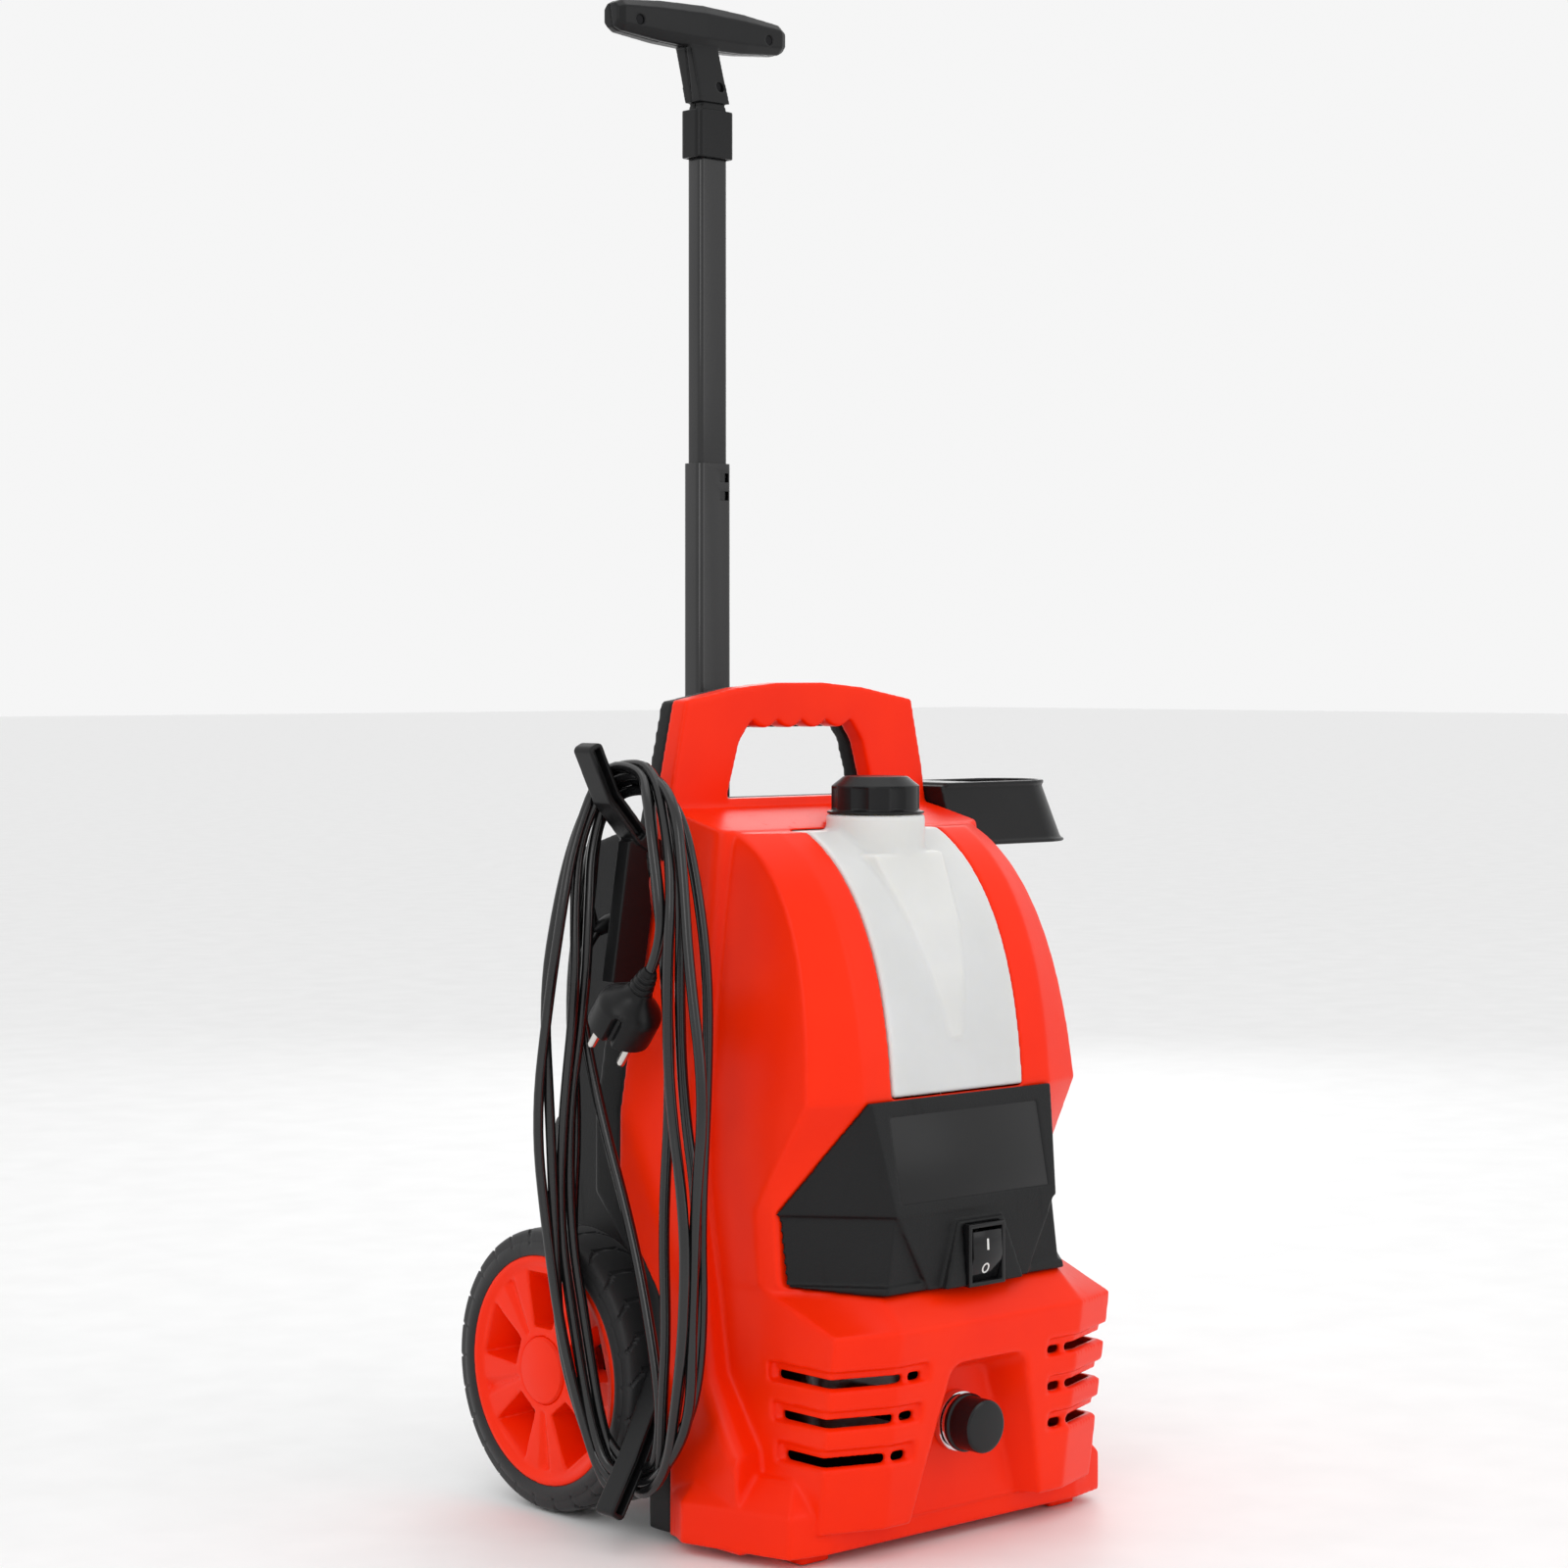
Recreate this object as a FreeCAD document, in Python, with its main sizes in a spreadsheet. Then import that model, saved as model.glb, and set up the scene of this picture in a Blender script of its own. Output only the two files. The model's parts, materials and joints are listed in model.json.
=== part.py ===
import FreeCAD, Part
import math
import os
import Sketcher
from FreeCAD import Placement, Rotation, Vector

# Upright wheeled pressure washer, modelled in millimetres, +Z up, front face towards -Y.
# Outlines are drawn about the machine's middle plane; every sub-part is then moved by the same
# origin shift, which puts the origin on the floor under the centre of the whole machine.

os.makedirs("parts", exist_ok=True)
doc = FreeCAD.newDocument("pressure_washer")

SIZES = {
    # common
    "origin_shift_x": -24.46, "origin_shift_y": 11.0, "wall": 3.0, "gap": 0.3, "run_gap": 0.05,
    # casing outline seen from the front: half widths and heights
    "casing_foot_half": 128.0, "casing_hip_half": 126.5, "casing_hip_top": 230.0,
    "casing_waist_half": 108.0, "casing_waist_top": 341.0, "casing_foot_top": 4.0,
    "shoulder_half": 97.0, "shoulder_top": 420.0, "crown_half": 88.0, "crown_top": 461.0,
    "crown_rise": 10.0, "ridge_round": 9.0,
    # where the two casing halves meet, and how deep each half is, seen from the side
    "parting": 5.0, "valley": -54.0, "handle_face": -8.0, "arch_start": 180.0, "arch_end": 135.0,
    "arch_parting": -30.0, "foot_parting": -41.0, "band_top_back": 16.0, "band_mid_back": 27.0,
    "band_foot_back": -22.0,
    # dome
    "dome_base": 245.0, "dome_top": 400.0, "dome_root": 5.0, "dome_depth": 118.0, "dome_lean": 14.0,
    "dome_power": 2.6, "strip_half": 71.5, "bevel_depth": 11.0, "bevel_half_top": 90.0,
    "bevel_half_base": 104.0, "loft_back": -50.0, "dome_cap": 388.0,
    # neck behind the panel, ledge and lower box
    "neck_top": 185.0, "neck_base": 146.0, "neck_crease": -91.0, "neck_seat": -101.0,
    "neck_half": 111.0, "seat_half": 105.0, "ledge_top": 142.0, "ledge_front": 125.0,
    "box_base": 18.0, "box_half": 106.6, "box_corner": -151.0, "box_front": -164.0,
    "box_front_half": 70.0, "box_lean": 14.0, "plinth_base": 6.0, "plinth_top": 45.0,
    "plinth_half": 138.5, "foot_front": -124.0, "foot_inner": 85.0, "foot_outer": 106.0,
    "foot_deep": 34.0,
    # front arch round the outlet
    "recess_top": 104.0, "recess_top_half": 29.0, "recess_foot_half": 56.0, "recess_back": -137.0,
    "recess_back_top": 95.0, "recess_back_top_half": 22.0, "recess_back_foot_half": 42.5,
    # side vents
    "vent_first": 96.0, "vent_pitch": 21.3, "vent_high": 10.5, "vent_slit": 4.4, "vent_step": 2.6,
    "vent_cut": 9.5, "vent_lip": 1.2, "vent_back": 6.2, "vent_front_half": 46.0, "vent_front_growth": 3.0,
    "vent_side_end": -100.0, "bridge_first": 59.0, "bridge_wide": 3.5,
    # carry handle opening
    "grip_hole_base": 405.0, "grip_hole_top": 449.0, "grip_hole_base_half": 57.5,
    "grip_hole_top_half": 43.0, "finger_pitch": 19.0, "finger_radius": 11.0,
    "recess_round": 12.0,
    # detergent tank
    "tank_half": 50.0, "tank_deep": 34.0, "tank_wall": 2.0, "neck_radius": 28.0, "neck_y": -69.5,
    "neck_mouth": 397.0, "tank_bottom": 246.0, "tank_bore": 19.0,
    "cap_radius": 25.0, "cap_high": 21.0, "cap_flutes": 7, "flute_radius": 12.0, "flute_deep": 1.8,
    # control panel
    "panel_top": 245.0, "panel_top_half": 69.5, "panel_face_top": -139.6, "panel_brow": 184.0,
    "panel_brow_half": 61.6, "panel_brow_face": -151.6, "panel_foot_half": 68.5,
    "panel_tip_half": 105.0, "panel_step": 2.6, "tongue_top_half": 61.0,
    "tongue_foot_half": 38.0,
    "plate_half": 57.0, "plate_top": 237.0,
    "plate_base": 190.0, "boss_top": 178.0, "boss_top_half": 19.3,
    "boss_foot_half": 31.7, "boss_face_top": -154.2, "boss_face_foot": -158.0,
    # rocker switch
    "switch_z": 159.0, "switch_half": 14.0, "switch_high": 34.0, "switch_rim": 2.2, "bezel_seat": -153.0,
    "bezel_face": -158.8, "switch_back": -137.0,
    "rocker_half": 11.0, "rocker_high": 28.0, "rocker_axis_y": -150.0, "rocker_tilt": 8.0,
    "pivot_radius": 1.5,
    # outlet
    "outlet_x": -4.0, "outlet_z": 65.5, "coupling_radius": 14.0, "coupling_bore": 5.0,
    "cap_face_y": -162.0, "dust_radius": 14.5, "dust_flange": 18.0,
    # wheels
    "axle_y": 62.0, "axle_z": 80.0, "axle_radius": 5.0, "wheel_radius": 80.0, "rim_radius": 65.0,
    "wheel_outer": 138.0, "wheel_wide": 37.0, "wheel_windows": 5,
    # telescopic handle
    "pole_y": 77.0, "outer_wide": 26.0, "outer_deep": 16.0, "outer_wall": 1.2, "outer_base": 272.0,
    "outer_top": 601.5, "inner_wide": 22.0, "inner_deep": 13.0, "inner_wall": 1.0,
    "inner_base": 540.0, "collar_base": 783.6, "collar_top": 812.0, "collar_wide": 28.5,
    "collar_deep": 18.0, "guide_base": 92.0, "guide_top": 399.0, "guide_wall": 2.4,
    "stem_lean": 8.0, "grip_half": 66.0, "grip_base": 850.0, "grip_top": 876.5, "grip_y": 87.0,
    # motor and pump
    "motor_y": -18.0, "stator_radius": 43.0, "stator_base": 168.0, "stator_high": 96.0,
    "rotor_radius": 24.0, "shaft_radius": 5.0, "bearing_radius": 13.0, "bearing_high": 9.0,
    "fan_radius": 38.0, "pump_half": 38.0, "pump_base": 44.0, "pump_high": 62.0,
    "piston_radius": 6.0, "piston_long": 62.0, "piston_circle": 20.0, "pistons": 3,
    # cable hooks and gun holder
    "hook_wide": 15.0, "hook_thick": 9.5, "hook_web": 3.0, "blade_wide": 10.0,
    "holder_y": 3.0, "holder_x": 174.0, "holder_radius": 25.0, "holder_base": 373.0,
    "holder_high": 38.0, "holder_flare": 6.0, "holder_shift": 9.0, "holder_wall": 2.6,
    # water inlet
    "inlet_x": 44.0, "inlet_z": 62.0, "inlet_radius": 12.0,
    # mains lead and plug
    "cord_radius": 3.0, "hank_thick": 22.0, "hank_lean": 3.45, "gland_y": 14.0, "gland_z": 338.0,
    "gland_radius": 6.5,
    "pin_radius": 2.4, "pin_long": 19.0, "pin_pitch": 19.0,
}


class Size:
    """A length from the sheet: its number now, and the expression that keeps it bound."""

    def __init__(self, value, text):
        self.value = value
        self.text = text

    def __add__(self, other):
        return Size(self.value + num(other), f"({self.text} + {txt(other)})")

    def __radd__(self, other):
        return Size(num(other) + self.value, f"({txt(other)} + {self.text})")

    def __sub__(self, other):
        return Size(self.value - num(other), f"({self.text} - {txt(other)})")

    def __rsub__(self, other):
        return Size(num(other) - self.value, f"({txt(other)} - {self.text})")

    def __mul__(self, other):
        return Size(self.value * num(other), f"({self.text} * {txt(other)})")

    def __rmul__(self, other):
        return Size(num(other) * self.value, f"({txt(other)} * {self.text})")

    def __truediv__(self, other):
        return Size(self.value / num(other), f"({self.text} / {txt(other)})")

    def __neg__(self):
        return Size(-self.value, f"(0 - {self.text})")

    def __pow__(self, other):
        return Size(self.value ** num(other), f"({self.text} ^ {txt(other)})")


def num(size):
    return size.value if isinstance(size, Size) else float(size)


def txt(size):
    return size.text if isinstance(size, Size) else f"({float(size)!r})"


class Sheet:
    """The driving dimensions, one aliased cell each."""

    def __init__(self):
        cells = doc.addObject("Spreadsheet::Sheet", "dims")
        for row, (alias, value) in enumerate(SIZES.items(), start=1):
            cells.set(f"A{row}", alias)
            cells.set(f"B{row}", str(value))
            cells.setAlias(f"B{row}", alias)
            setattr(self, alias, Size(float(value), f"dims.{alias}"))
        doc.recompute()


d = Sheet()


# ---------------------------------------------------------------- drawing helpers
PLANES = {"top": "XY_Plane", "front": "XZ_Plane", "side": "YZ_Plane"}


def bind(thing, prop, size):
    if isinstance(size, Size):
        thing.setExpression(prop, size.text)


def new_body(name):
    body = doc.addObject("PartDesign::Body", name)
    body.Label = name
    return body


def origin_part(body, role):
    return [item for item in body.Origin.OriginFeatures if item.Role == role][0]


def new_sketch(body, plane, at):
    """A sketch on an origin plane: 'top' at a height, 'front' at a depth y, 'side' at an x."""
    sketch = body.newObject("Sketcher::SketchObject", "sketch")
    sketch.AttachmentSupport = (origin_part(body, PLANES[plane]), [""])
    sketch.MapMode = "FlatFace"
    offset = 0 - at if plane == "front" else at
    sketch.AttachmentOffset = Placement(Vector(0, 0, num(offset)), Rotation())
    bind(sketch, "AttachmentOffset.Base.z", offset)
    return sketch


def polygon(body, plane, at, *loops):
    """Closed straight-sided loops, each corner bound to the sheet."""
    sketch = new_sketch(body, plane, at)
    lines = []
    rules = []
    bindings = []
    for loop in loops:
        first = len(lines)
        count = len(loop)
        corners = [Vector(num(x), num(y), 0) for x, y in loop]
        for i in range(count):
            lines.append(Part.LineSegment(corners[i], corners[(i + 1) % count]))
            rules.append(Sketcher.Constraint("Coincident", first + i, 2, first + (i + 1) % count, 1))
        for i, (x, y) in enumerate(loop):
            for kind, size in (("DistanceX", x), ("DistanceY", y)):
                if isinstance(size, Size):
                    bindings.append((len(rules), size))
                rules.append(Sketcher.Constraint(kind, -1, 1, first + i, 1, num(size)))
    sketch.addGeometry(lines, False)
    sketch.addConstraint(rules)
    for index, size in bindings:
        sketch.setExpression(f"Constraints[{index}]", size.text)
    return sketch


def circles(body, plane, at, *rounds):
    """Circles given as (x, y, radius), each bound to the sheet."""
    sketch = new_sketch(body, plane, at)
    for i, (x, y, radius) in enumerate(rounds):
        sketch.addGeometry(Part.Circle(Vector(num(x), num(y), 0), Vector(0, 0, 1), num(radius)), False)
        sketch.addConstraint([
            Sketcher.Constraint("DistanceX", -1, 1, i, 3, num(x)),
            Sketcher.Constraint("DistanceY", -1, 1, i, 3, num(y)),
            Sketcher.Constraint("Radius", i, num(radius)),
        ])
        for step, size in enumerate((x, y, radius)):
            bind(sketch, f"Constraints[{3 * i + step}]", size)
    return sketch


def capsule(body, at, x_start, x_centre, y_centre, radius):
    """A level loop with a square end at x_start and a round end about x_centre."""
    sketch = new_sketch(body, "top", at)
    low, high = num(y_centre) - num(radius), num(y_centre) + num(radius)
    x0, x1 = num(x_start), num(x_centre)
    arc = Part.ArcOfCircle(Part.Circle(Vector(x1, num(y_centre), 0), Vector(0, 0, 1), num(radius)),
                           -math.pi / 2, math.pi / 2)
    sketch.addGeometry([
        Part.LineSegment(Vector(x0, low, 0), Vector(x1, low, 0)),
        arc,
        Part.LineSegment(Vector(x1, high, 0), Vector(x0, high, 0)),
        Part.LineSegment(Vector(x0, high, 0), Vector(x0, low, 0)),
    ], False)
    sketch.addConstraint([
        Sketcher.Constraint("Tangent", 0, 2, 1, 1),
        Sketcher.Constraint("Tangent", 1, 2, 2, 1),
        Sketcher.Constraint("Coincident", 2, 2, 3, 1),
        Sketcher.Constraint("Coincident", 3, 2, 0, 1),
        Sketcher.Constraint("Horizontal", 0),
        Sketcher.Constraint("Vertical", 3),
        Sketcher.Constraint("DistanceX", -1, 1, 1, 3, x1),
        Sketcher.Constraint("DistanceY", -1, 1, 1, 3, num(y_centre)),
        Sketcher.Constraint("Radius", 1, num(radius)),
        Sketcher.Constraint("DistanceX", -1, 1, 3, 1, x0),
    ])
    for index, size in ((6, x_centre), (7, y_centre), (8, radius), (9, x_start)):
        bind(sketch, f"Constraints[{index}]", size)
    return sketch


def feature(body, kind, sketch=None):
    item = body.newObject(f"PartDesign::{kind}", kind.lower())
    if sketch is not None:
        item.Profile = sketch
        sketch.Visibility = False
    return item


def pad(body, sketch, length):
    """Adds material from the sketch along its normal (up, forwards, or to the right)."""
    item = feature(body, "Pad", sketch)
    item.Length = num(length)
    bind(item, "Length", length)
    return item


def cut(body, sketch, length):
    """Takes material away from the sketch along its normal, the same way that pad adds it."""
    item = feature(body, "Pocket", sketch)
    item.Reversed = True
    item.Length = num(length)
    bind(item, "Length", length)
    return item


def loft(body, sections, ruled=True, add=True):
    item = feature(body, "AdditiveLoft" if add else "SubtractiveLoft", sections[0])
    item.Sections = sections[1:]
    item.Ruled = ruled
    return item


def turn(body, sketch, add=True):
    """Revolves the sketch about the body's upright axis."""
    item = feature(body, "Revolution" if add else "Groove", sketch)
    item.ReferenceAxis = (sketch, ["V_Axis"])
    item.Angle = 360
    return item


def round_edges(body, radius, chosen, kind="Fillet"):
    """Rounds the edges of the body's present shape that the test accepts."""
    doc.recompute()
    base = body.Tip
    names = [f"Edge{i}" for i, edge in enumerate(base.Shape.Edges, start=1) if chosen(edge)]
    item = body.newObject(f"PartDesign::{kind}", kind.lower())
    item.Base = (base, names)
    prop = "Radius" if kind == "Fillet" else "Size"
    setattr(item, prop, num(radius))
    bind(item, prop, radius)
    doc.recompute()
    return item


def pattern_round(body, original, count):
    item = body.newObject("PartDesign::PolarPattern", "ring_pattern")
    item.Originals = [original]
    item.Axis = (origin_part(body, "Z_Axis"), [""])
    item.Angle = 360
    item.Occurrences = int(num(count))
    bind(item, "Occurrences", count)
    body.Tip = item
    return item


FACING = {
    "up": Rotation(),
    "right": Rotation(Vector(0, 1, 0), 90),
    "left": Rotation(Vector(0, 1, 0), -90),
    "forward": Rotation(Vector(1, 0, 0), 90),
    "back": Rotation(Vector(1, 0, 0), -90),
}


def seat(thing, x=0, y=0, z=0, facing="up", rotation=None):
    """Places a sub-part in the machine: its own Z axis turned to a side, then the common shift."""
    turned = rotation if rotation is not None else FACING[facing]
    spot = (x + d.origin_shift_x, y + d.origin_shift_y, z)
    thing.Placement = Placement(Vector(*[num(value) for value in spot]), turned)
    for letter, size in zip("xyz", spot):
        bind(thing, f"Placement.Base.{letter}", size)
    return thing


NODES = []


def node(thing, label):
    thing.Label = label
    NODES.append(thing)
    return thing


def mirrored(points):
    """A loop from its right half, listed from bottom to top or front to back."""
    return points + [(0 - x, y) for x, y in reversed(points)]


def rectangle(x_low, y_low, x_high, y_high):
    return [(x_low, y_low), (x_high, y_low), (x_high, y_high), (x_low, y_high)]


def boolean(kind, base, tool, name):
    item = doc.addObject(f"Part::{kind}", name)
    item.Base = base
    item.Tool = tool
    return item


def drilled(base, name, radius, spot, facing, depth):
    """The base with one round hole, from a spot along a side's direction."""
    drill = doc.addObject("Part::Cylinder", f"{name}_drill")
    drill.Radius = num(radius)
    bind(drill, "Radius", radius)
    drill.Height = depth
    drill.Placement = Placement(Vector(*[num(value) for value in spot]), FACING[facing])
    for letter, size in zip("xyz", spot):
        bind(drill, f"Placement.Base.{letter}", size)
    return boolean("Cut", base, drill, name)


def upright(edge):
    ends = edge.Vertexes
    return len(ends) == 2 and (ends[0].Point - ends[1].Point).getAngle(Vector(0, 0, 1)) in (0.0, math.pi)


# ---------------------------------------------------------------- casing
def silhouette(inset):
    """The casing seen from the front."""
    half = [
        (d.casing_foot_half - inset, d.casing_foot_top + inset),
        (d.casing_foot_half - inset, 40 + inset),
        (d.casing_hip_half - inset, d.casing_hip_top),
        (d.casing_waist_half - inset, d.casing_waist_top),
        (d.shoulder_half - inset, d.shoulder_top),
        (d.crown_half - inset, d.crown_top - inset),
        (d.crown_half * 0.55, d.crown_top + d.crown_rise * 0.72 - inset),
        (d.crown_half * 0.2, d.crown_top + d.crown_rise - inset),
    ]
    return mirrored(half)


def trim_to_silhouette(body, inset, front, depth):
    """Cuts away everything outside the casing's front outline."""
    reach = 200.0
    frame = rectangle(-reach, -60, reach, 600)
    cut(body, polygon(body, "front", front, frame, silhouette(inset)), depth)


def dome_front(height, depth, top):
    """Depth y of the dome's rounded front at a height."""
    rise = (height - d.dome_base) / (top - d.dome_base)
    swell = (1 - rise ** d.dome_power) ** (1 / d.dome_power.value)
    lean = d.dome_lean * (d.dome_top - height) / (d.dome_top - d.dome_base)
    return 0 - (d.dome_root + depth * swell + lean)


def dome_section(body, height, inset):
    """Level section of the dome: centre strip, bevels and side faces."""
    z = d.dome_base + height * (d.dome_cap - d.dome_base)
    strip_y = dome_front(z, d.dome_depth, d.dome_top) + inset
    bevel_y = dome_front(z, d.dome_depth - d.bevel_depth, d.dome_top - 4) + inset
    fall = (d.dome_top - z) / (d.dome_top - d.dome_base)
    bevel_x = d.bevel_half_top + (d.bevel_half_base - d.bevel_half_top) * fall - inset
    side_x = bevel_x + 2 + 5 * fall
    points = [(side_x, d.loft_back), (bevel_x, bevel_y), (d.strip_half, strip_y)]
    return polygon(body, "top", z - inset, mirrored(points))


def lower_sections(body, inset):
    """Level sections of the neck behind the panel, the sloping ledge and the lower box."""
    lean = d.box_lean
    rows = [
        (d.box_base + inset, (112, d.loft_back), (d.box_half - 2, d.box_corner + lean),
         (d.box_front_half - 2, d.box_front + lean)),
        (d.ledge_front - inset * 0.5, (112, d.loft_back), (d.box_half, d.box_corner),
         (d.box_front_half, d.box_front)),
        (d.ledge_top - inset, (112, d.loft_back), (d.neck_half - 3, d.neck_seat), (68, -147)),
        (d.neck_base - inset, (112, d.loft_back), (d.neck_half - 1, -94), (d.seat_half, -105)),
        (d.neck_top, (112, d.loft_back), (d.neck_half, d.neck_crease), (d.seat_half, d.neck_seat)),
        (d.dome_base, (d.bevel_half_base + 7, d.loft_back),
         (d.bevel_half_base, dome_front(d.dome_base, d.dome_depth - d.bevel_depth, d.dome_top - 4)),
         (d.strip_half, dome_front(d.dome_base, d.dome_depth, d.dome_top))),
    ]
    sketches = []
    for z, back, corner, front in rows:
        points = [(back[0] - inset, back[1]), (corner[0] - inset, corner[1] + inset),
                  (front[0] - inset * 0.4, front[1] + inset)]
        sketches.append(polygon(body, "top", z, mirrored(points)))
    return sketches


def recess_cut(body, grow):
    """The arch round the outlet: wide at the mouth, narrower at its back wall."""
    def arch(foot_half, top_half, top):
        bend = d.recess_round
        crown = [(top_half + grow + bend * (math.cos(angle) - 1), top + grow + bend * (math.sin(angle) - 1))
                 for angle in (math.radians(22.5 * step) for step in range(5))]
        return mirrored([(foot_half + grow, -20), (foot_half + grow, d.box_base)] + crown)
    mouth = polygon(body, "front", -172, arch(d.recess_foot_half + 7, d.recess_top_half + 7, d.recess_top + 3))
    back = polygon(body, "front", d.recess_back + grow,
                   arch(d.recess_back_foot_half, d.recess_back_top_half, d.recess_back_top))
    return loft(body, [mouth, back], add=False)


def flange_profile(inset):
    """Side view of the ridge that runs round the front half, back edge on the parting line."""
    back = d.parting + 1 if num(inset) else d.parting
    slack = 1 if num(inset) else 0
    return [
        (d.foot_parting + slack, d.casing_foot_top), (d.foot_parting + slack, 40),
        (d.arch_parting + slack, d.arch_end), (back, d.arch_start), (back, 600),
        (d.handle_face + inset, 600), (d.handle_face + inset, d.dome_top - inset),
        (d.valley + inset, d.dome_cap + 1 - inset), (d.valley + inset, 200), (-63 + inset, 148),
        (-71 + inset, 96), (-95 + inset, 57), (-100 + inset, d.casing_foot_top),
    ]


def front_block(name, inset):
    body = new_body(name)
    reach = 140.0
    pad(body, polygon(body, "side", -reach, flange_profile(inset)), 2 * reach)
    trim_to_silhouette(body, inset, 60, 220)
    if num(inset) == 0:
        round_edges(body, d.ridge_round, ridge_edge)
    loft(body, lower_sections(body, inset))
    steps = [dome_section(body, step, inset)
             for step in (0.0, 0.14, 0.28, 0.42, 0.56, 0.69, 0.80, 0.89, 0.955, 1.0)]
    loft(body, steps, ruled=False)
    plinth = []
    for z, spread in ((d.plinth_base + inset, 0), (d.plinth_base + 22, 0), (d.plinth_top - inset, -17)):
        points = [(d.casing_foot_half + spread * 0.5 - inset, -42), (d.plinth_half + spread - inset, -63),
                  (120 + spread * 0.7 - inset, -130 - spread * 0.6 + inset),
                  (94 + spread * 0.3 - inset, -135.5 - spread * 0.3 + inset)]
        plinth.append(polygon(body, "top", z, mirrored(points)))
    loft(body, plinth)
    recess_cut(body, inset)
    return body


def ridge_edge(edge):
    """The front outer edge of the casing's ridge."""
    middle = edge.CenterOfMass
    inside = 60 < middle.z < 388 and middle.y < num(d.valley) + 1 and abs(middle.x) > 100
    return inside and edge.BoundBox.ZLength > 10


def handle_hole(body):
    """Opening under the carry handle, with finger waves on the underside of the bar."""
    half = [(d.grip_hole_base_half, d.grip_hole_base), (d.grip_hole_top_half + 5, d.grip_hole_top - 12),
            (d.grip_hole_top_half - 4, d.grip_hole_top)]
    cut(body, polygon(body, "front", 60, mirrored(half)), 120)


def finger_waves(body, front, depth):
    rounds = [(d.finger_pitch * step, d.grip_hole_top + d.finger_radius - 4, d.finger_radius)
              for step in (-1.5, -0.5, 0.5, 1.5)]
    pad(body, circles(body, "front", front, *rounds), depth)


def vent_band(low_z, deep, front_half, side_end):
    """A strip that follows the lower box round its corner, at one height."""
    lean = d.box_lean * (d.ledge_front - low_z) / (d.ledge_front - d.box_base)
    front_y = d.box_front + lean
    corner_y = d.box_corner + lean
    slope = (corner_y - front_y) / (d.box_half - d.box_front_half)
    start_y = front_y - 6
    outer = [(front_half, start_y), (d.box_front_half, start_y), (d.box_half + 8, corner_y - 6),
             (d.box_half + 8, side_end)]
    inner = [(d.box_half - deep, side_end), (d.box_half - deep, corner_y + slope * 2 + deep * 0.6),
             (d.box_front_half, front_y + deep), (front_half, front_y + deep)]
    return outer + inner


def flipped(points):
    return [(0 - x, y) for x, y in points]


def vents(body):
    """Three stepped slots on each side; each has a slit in its lower half, split by one bridge."""
    for row in range(3):
        low = d.vent_first - d.vent_pitch * row
        start = d.vent_front_half + d.vent_front_growth * row
        end = d.vent_side_end - 3 * row
        step = vent_band(low, d.vent_step, start, end)
        cut(body, polygon(body, "top", low, step, flipped(step)), d.vent_high)
        lean = d.box_lean * (d.ledge_front - low) / (d.ledge_front - d.box_base)
        bridge = d.bridge_first + d.bridge_wide * row
        short = rectangle(start + 3, d.box_front + lean - 4, bridge, d.box_front + lean + d.vent_cut)
        long = vent_band(low, d.vent_cut, bridge + d.bridge_wide, end - 3)
        for part in (short, long):
            cut(body, polygon(body, "top", low + d.vent_lip, part, flipped(part)), d.vent_slit)


def vent_backing(hollow):
    """Leaves the casing thicker behind each stepped slot."""
    for row in range(3):
        low = d.vent_first - d.vent_pitch * row
        start = d.vent_front_half + d.vent_front_growth * row
        band = vent_band(low - 2, d.vent_back, start - 4, d.vent_side_end - 3 * row + 3)
        cut(hollow, polygon(hollow, "top", low - 2, band, flipped(band)), d.vent_high + 4)


def tank_block(name, grow, wall):
    """The tank's curved slab, grown for its seat or shrunk for its hollow."""
    body = new_body(name)
    sections = []
    side = d.tank_half + grow - wall
    for step in (0.0, 0.14, 0.28, 0.42, 0.56, 0.69, 0.80, 0.89, 0.955, 1.0):
        z = d.tank_bottom + step * (d.dome_cap - d.tank_bottom)
        front = dome_front(z, d.dome_depth, d.dome_top) - 0.6 + wall
        front = front - 12 if num(grow) else front
        back = dome_front(z, d.dome_depth, d.dome_top) + d.tank_deep + 5 * grow - wall
        shift = (1 - 2 * step) * (wall - grow)
        sections.append(polygon(body, "top", z + shift, mirrored([(side, back), (side, front)])))
    loft(body, sections, ruled=False)
    return body


def make_front_shell():
    outer = front_block("front_outer", 0)
    handle_hole(outer)
    finger_waves(outer, d.parting, d.parting - d.handle_face)
    vents(outer)
    foot = rectangle(d.foot_inner, d.foot_front, d.foot_outer, d.foot_front + d.foot_deep)
    pad(outer, polygon(outer, "top", 0, foot, flipped(foot)), d.plinth_base + 4)
    inner = front_block("front_hollow", d.wall)
    vent_backing(inner)
    cut(inner, polygon(inner, "top", d.dome_cap - 4, rectangle(-150, -120, 150, 60)), 250)
    hollowed = boolean("Cut", outer, inner, "front_hollowed")
    tank_seat = tank_block("tank_seat", d.gap, 0)
    pad(tank_seat, circles(tank_seat, "top", 340, (0, d.neck_y, d.neck_radius + d.gap)), 80)
    seated = boolean("Cut", hollowed, tank_seat, "front_seated")
    shell = drilled(seated, "outlet_hole", d.coupling_radius + d.gap, (d.outlet_x, -100, d.outlet_z),
                    "forward", 60)
    node(seat(shell), "front_shell")


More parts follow.
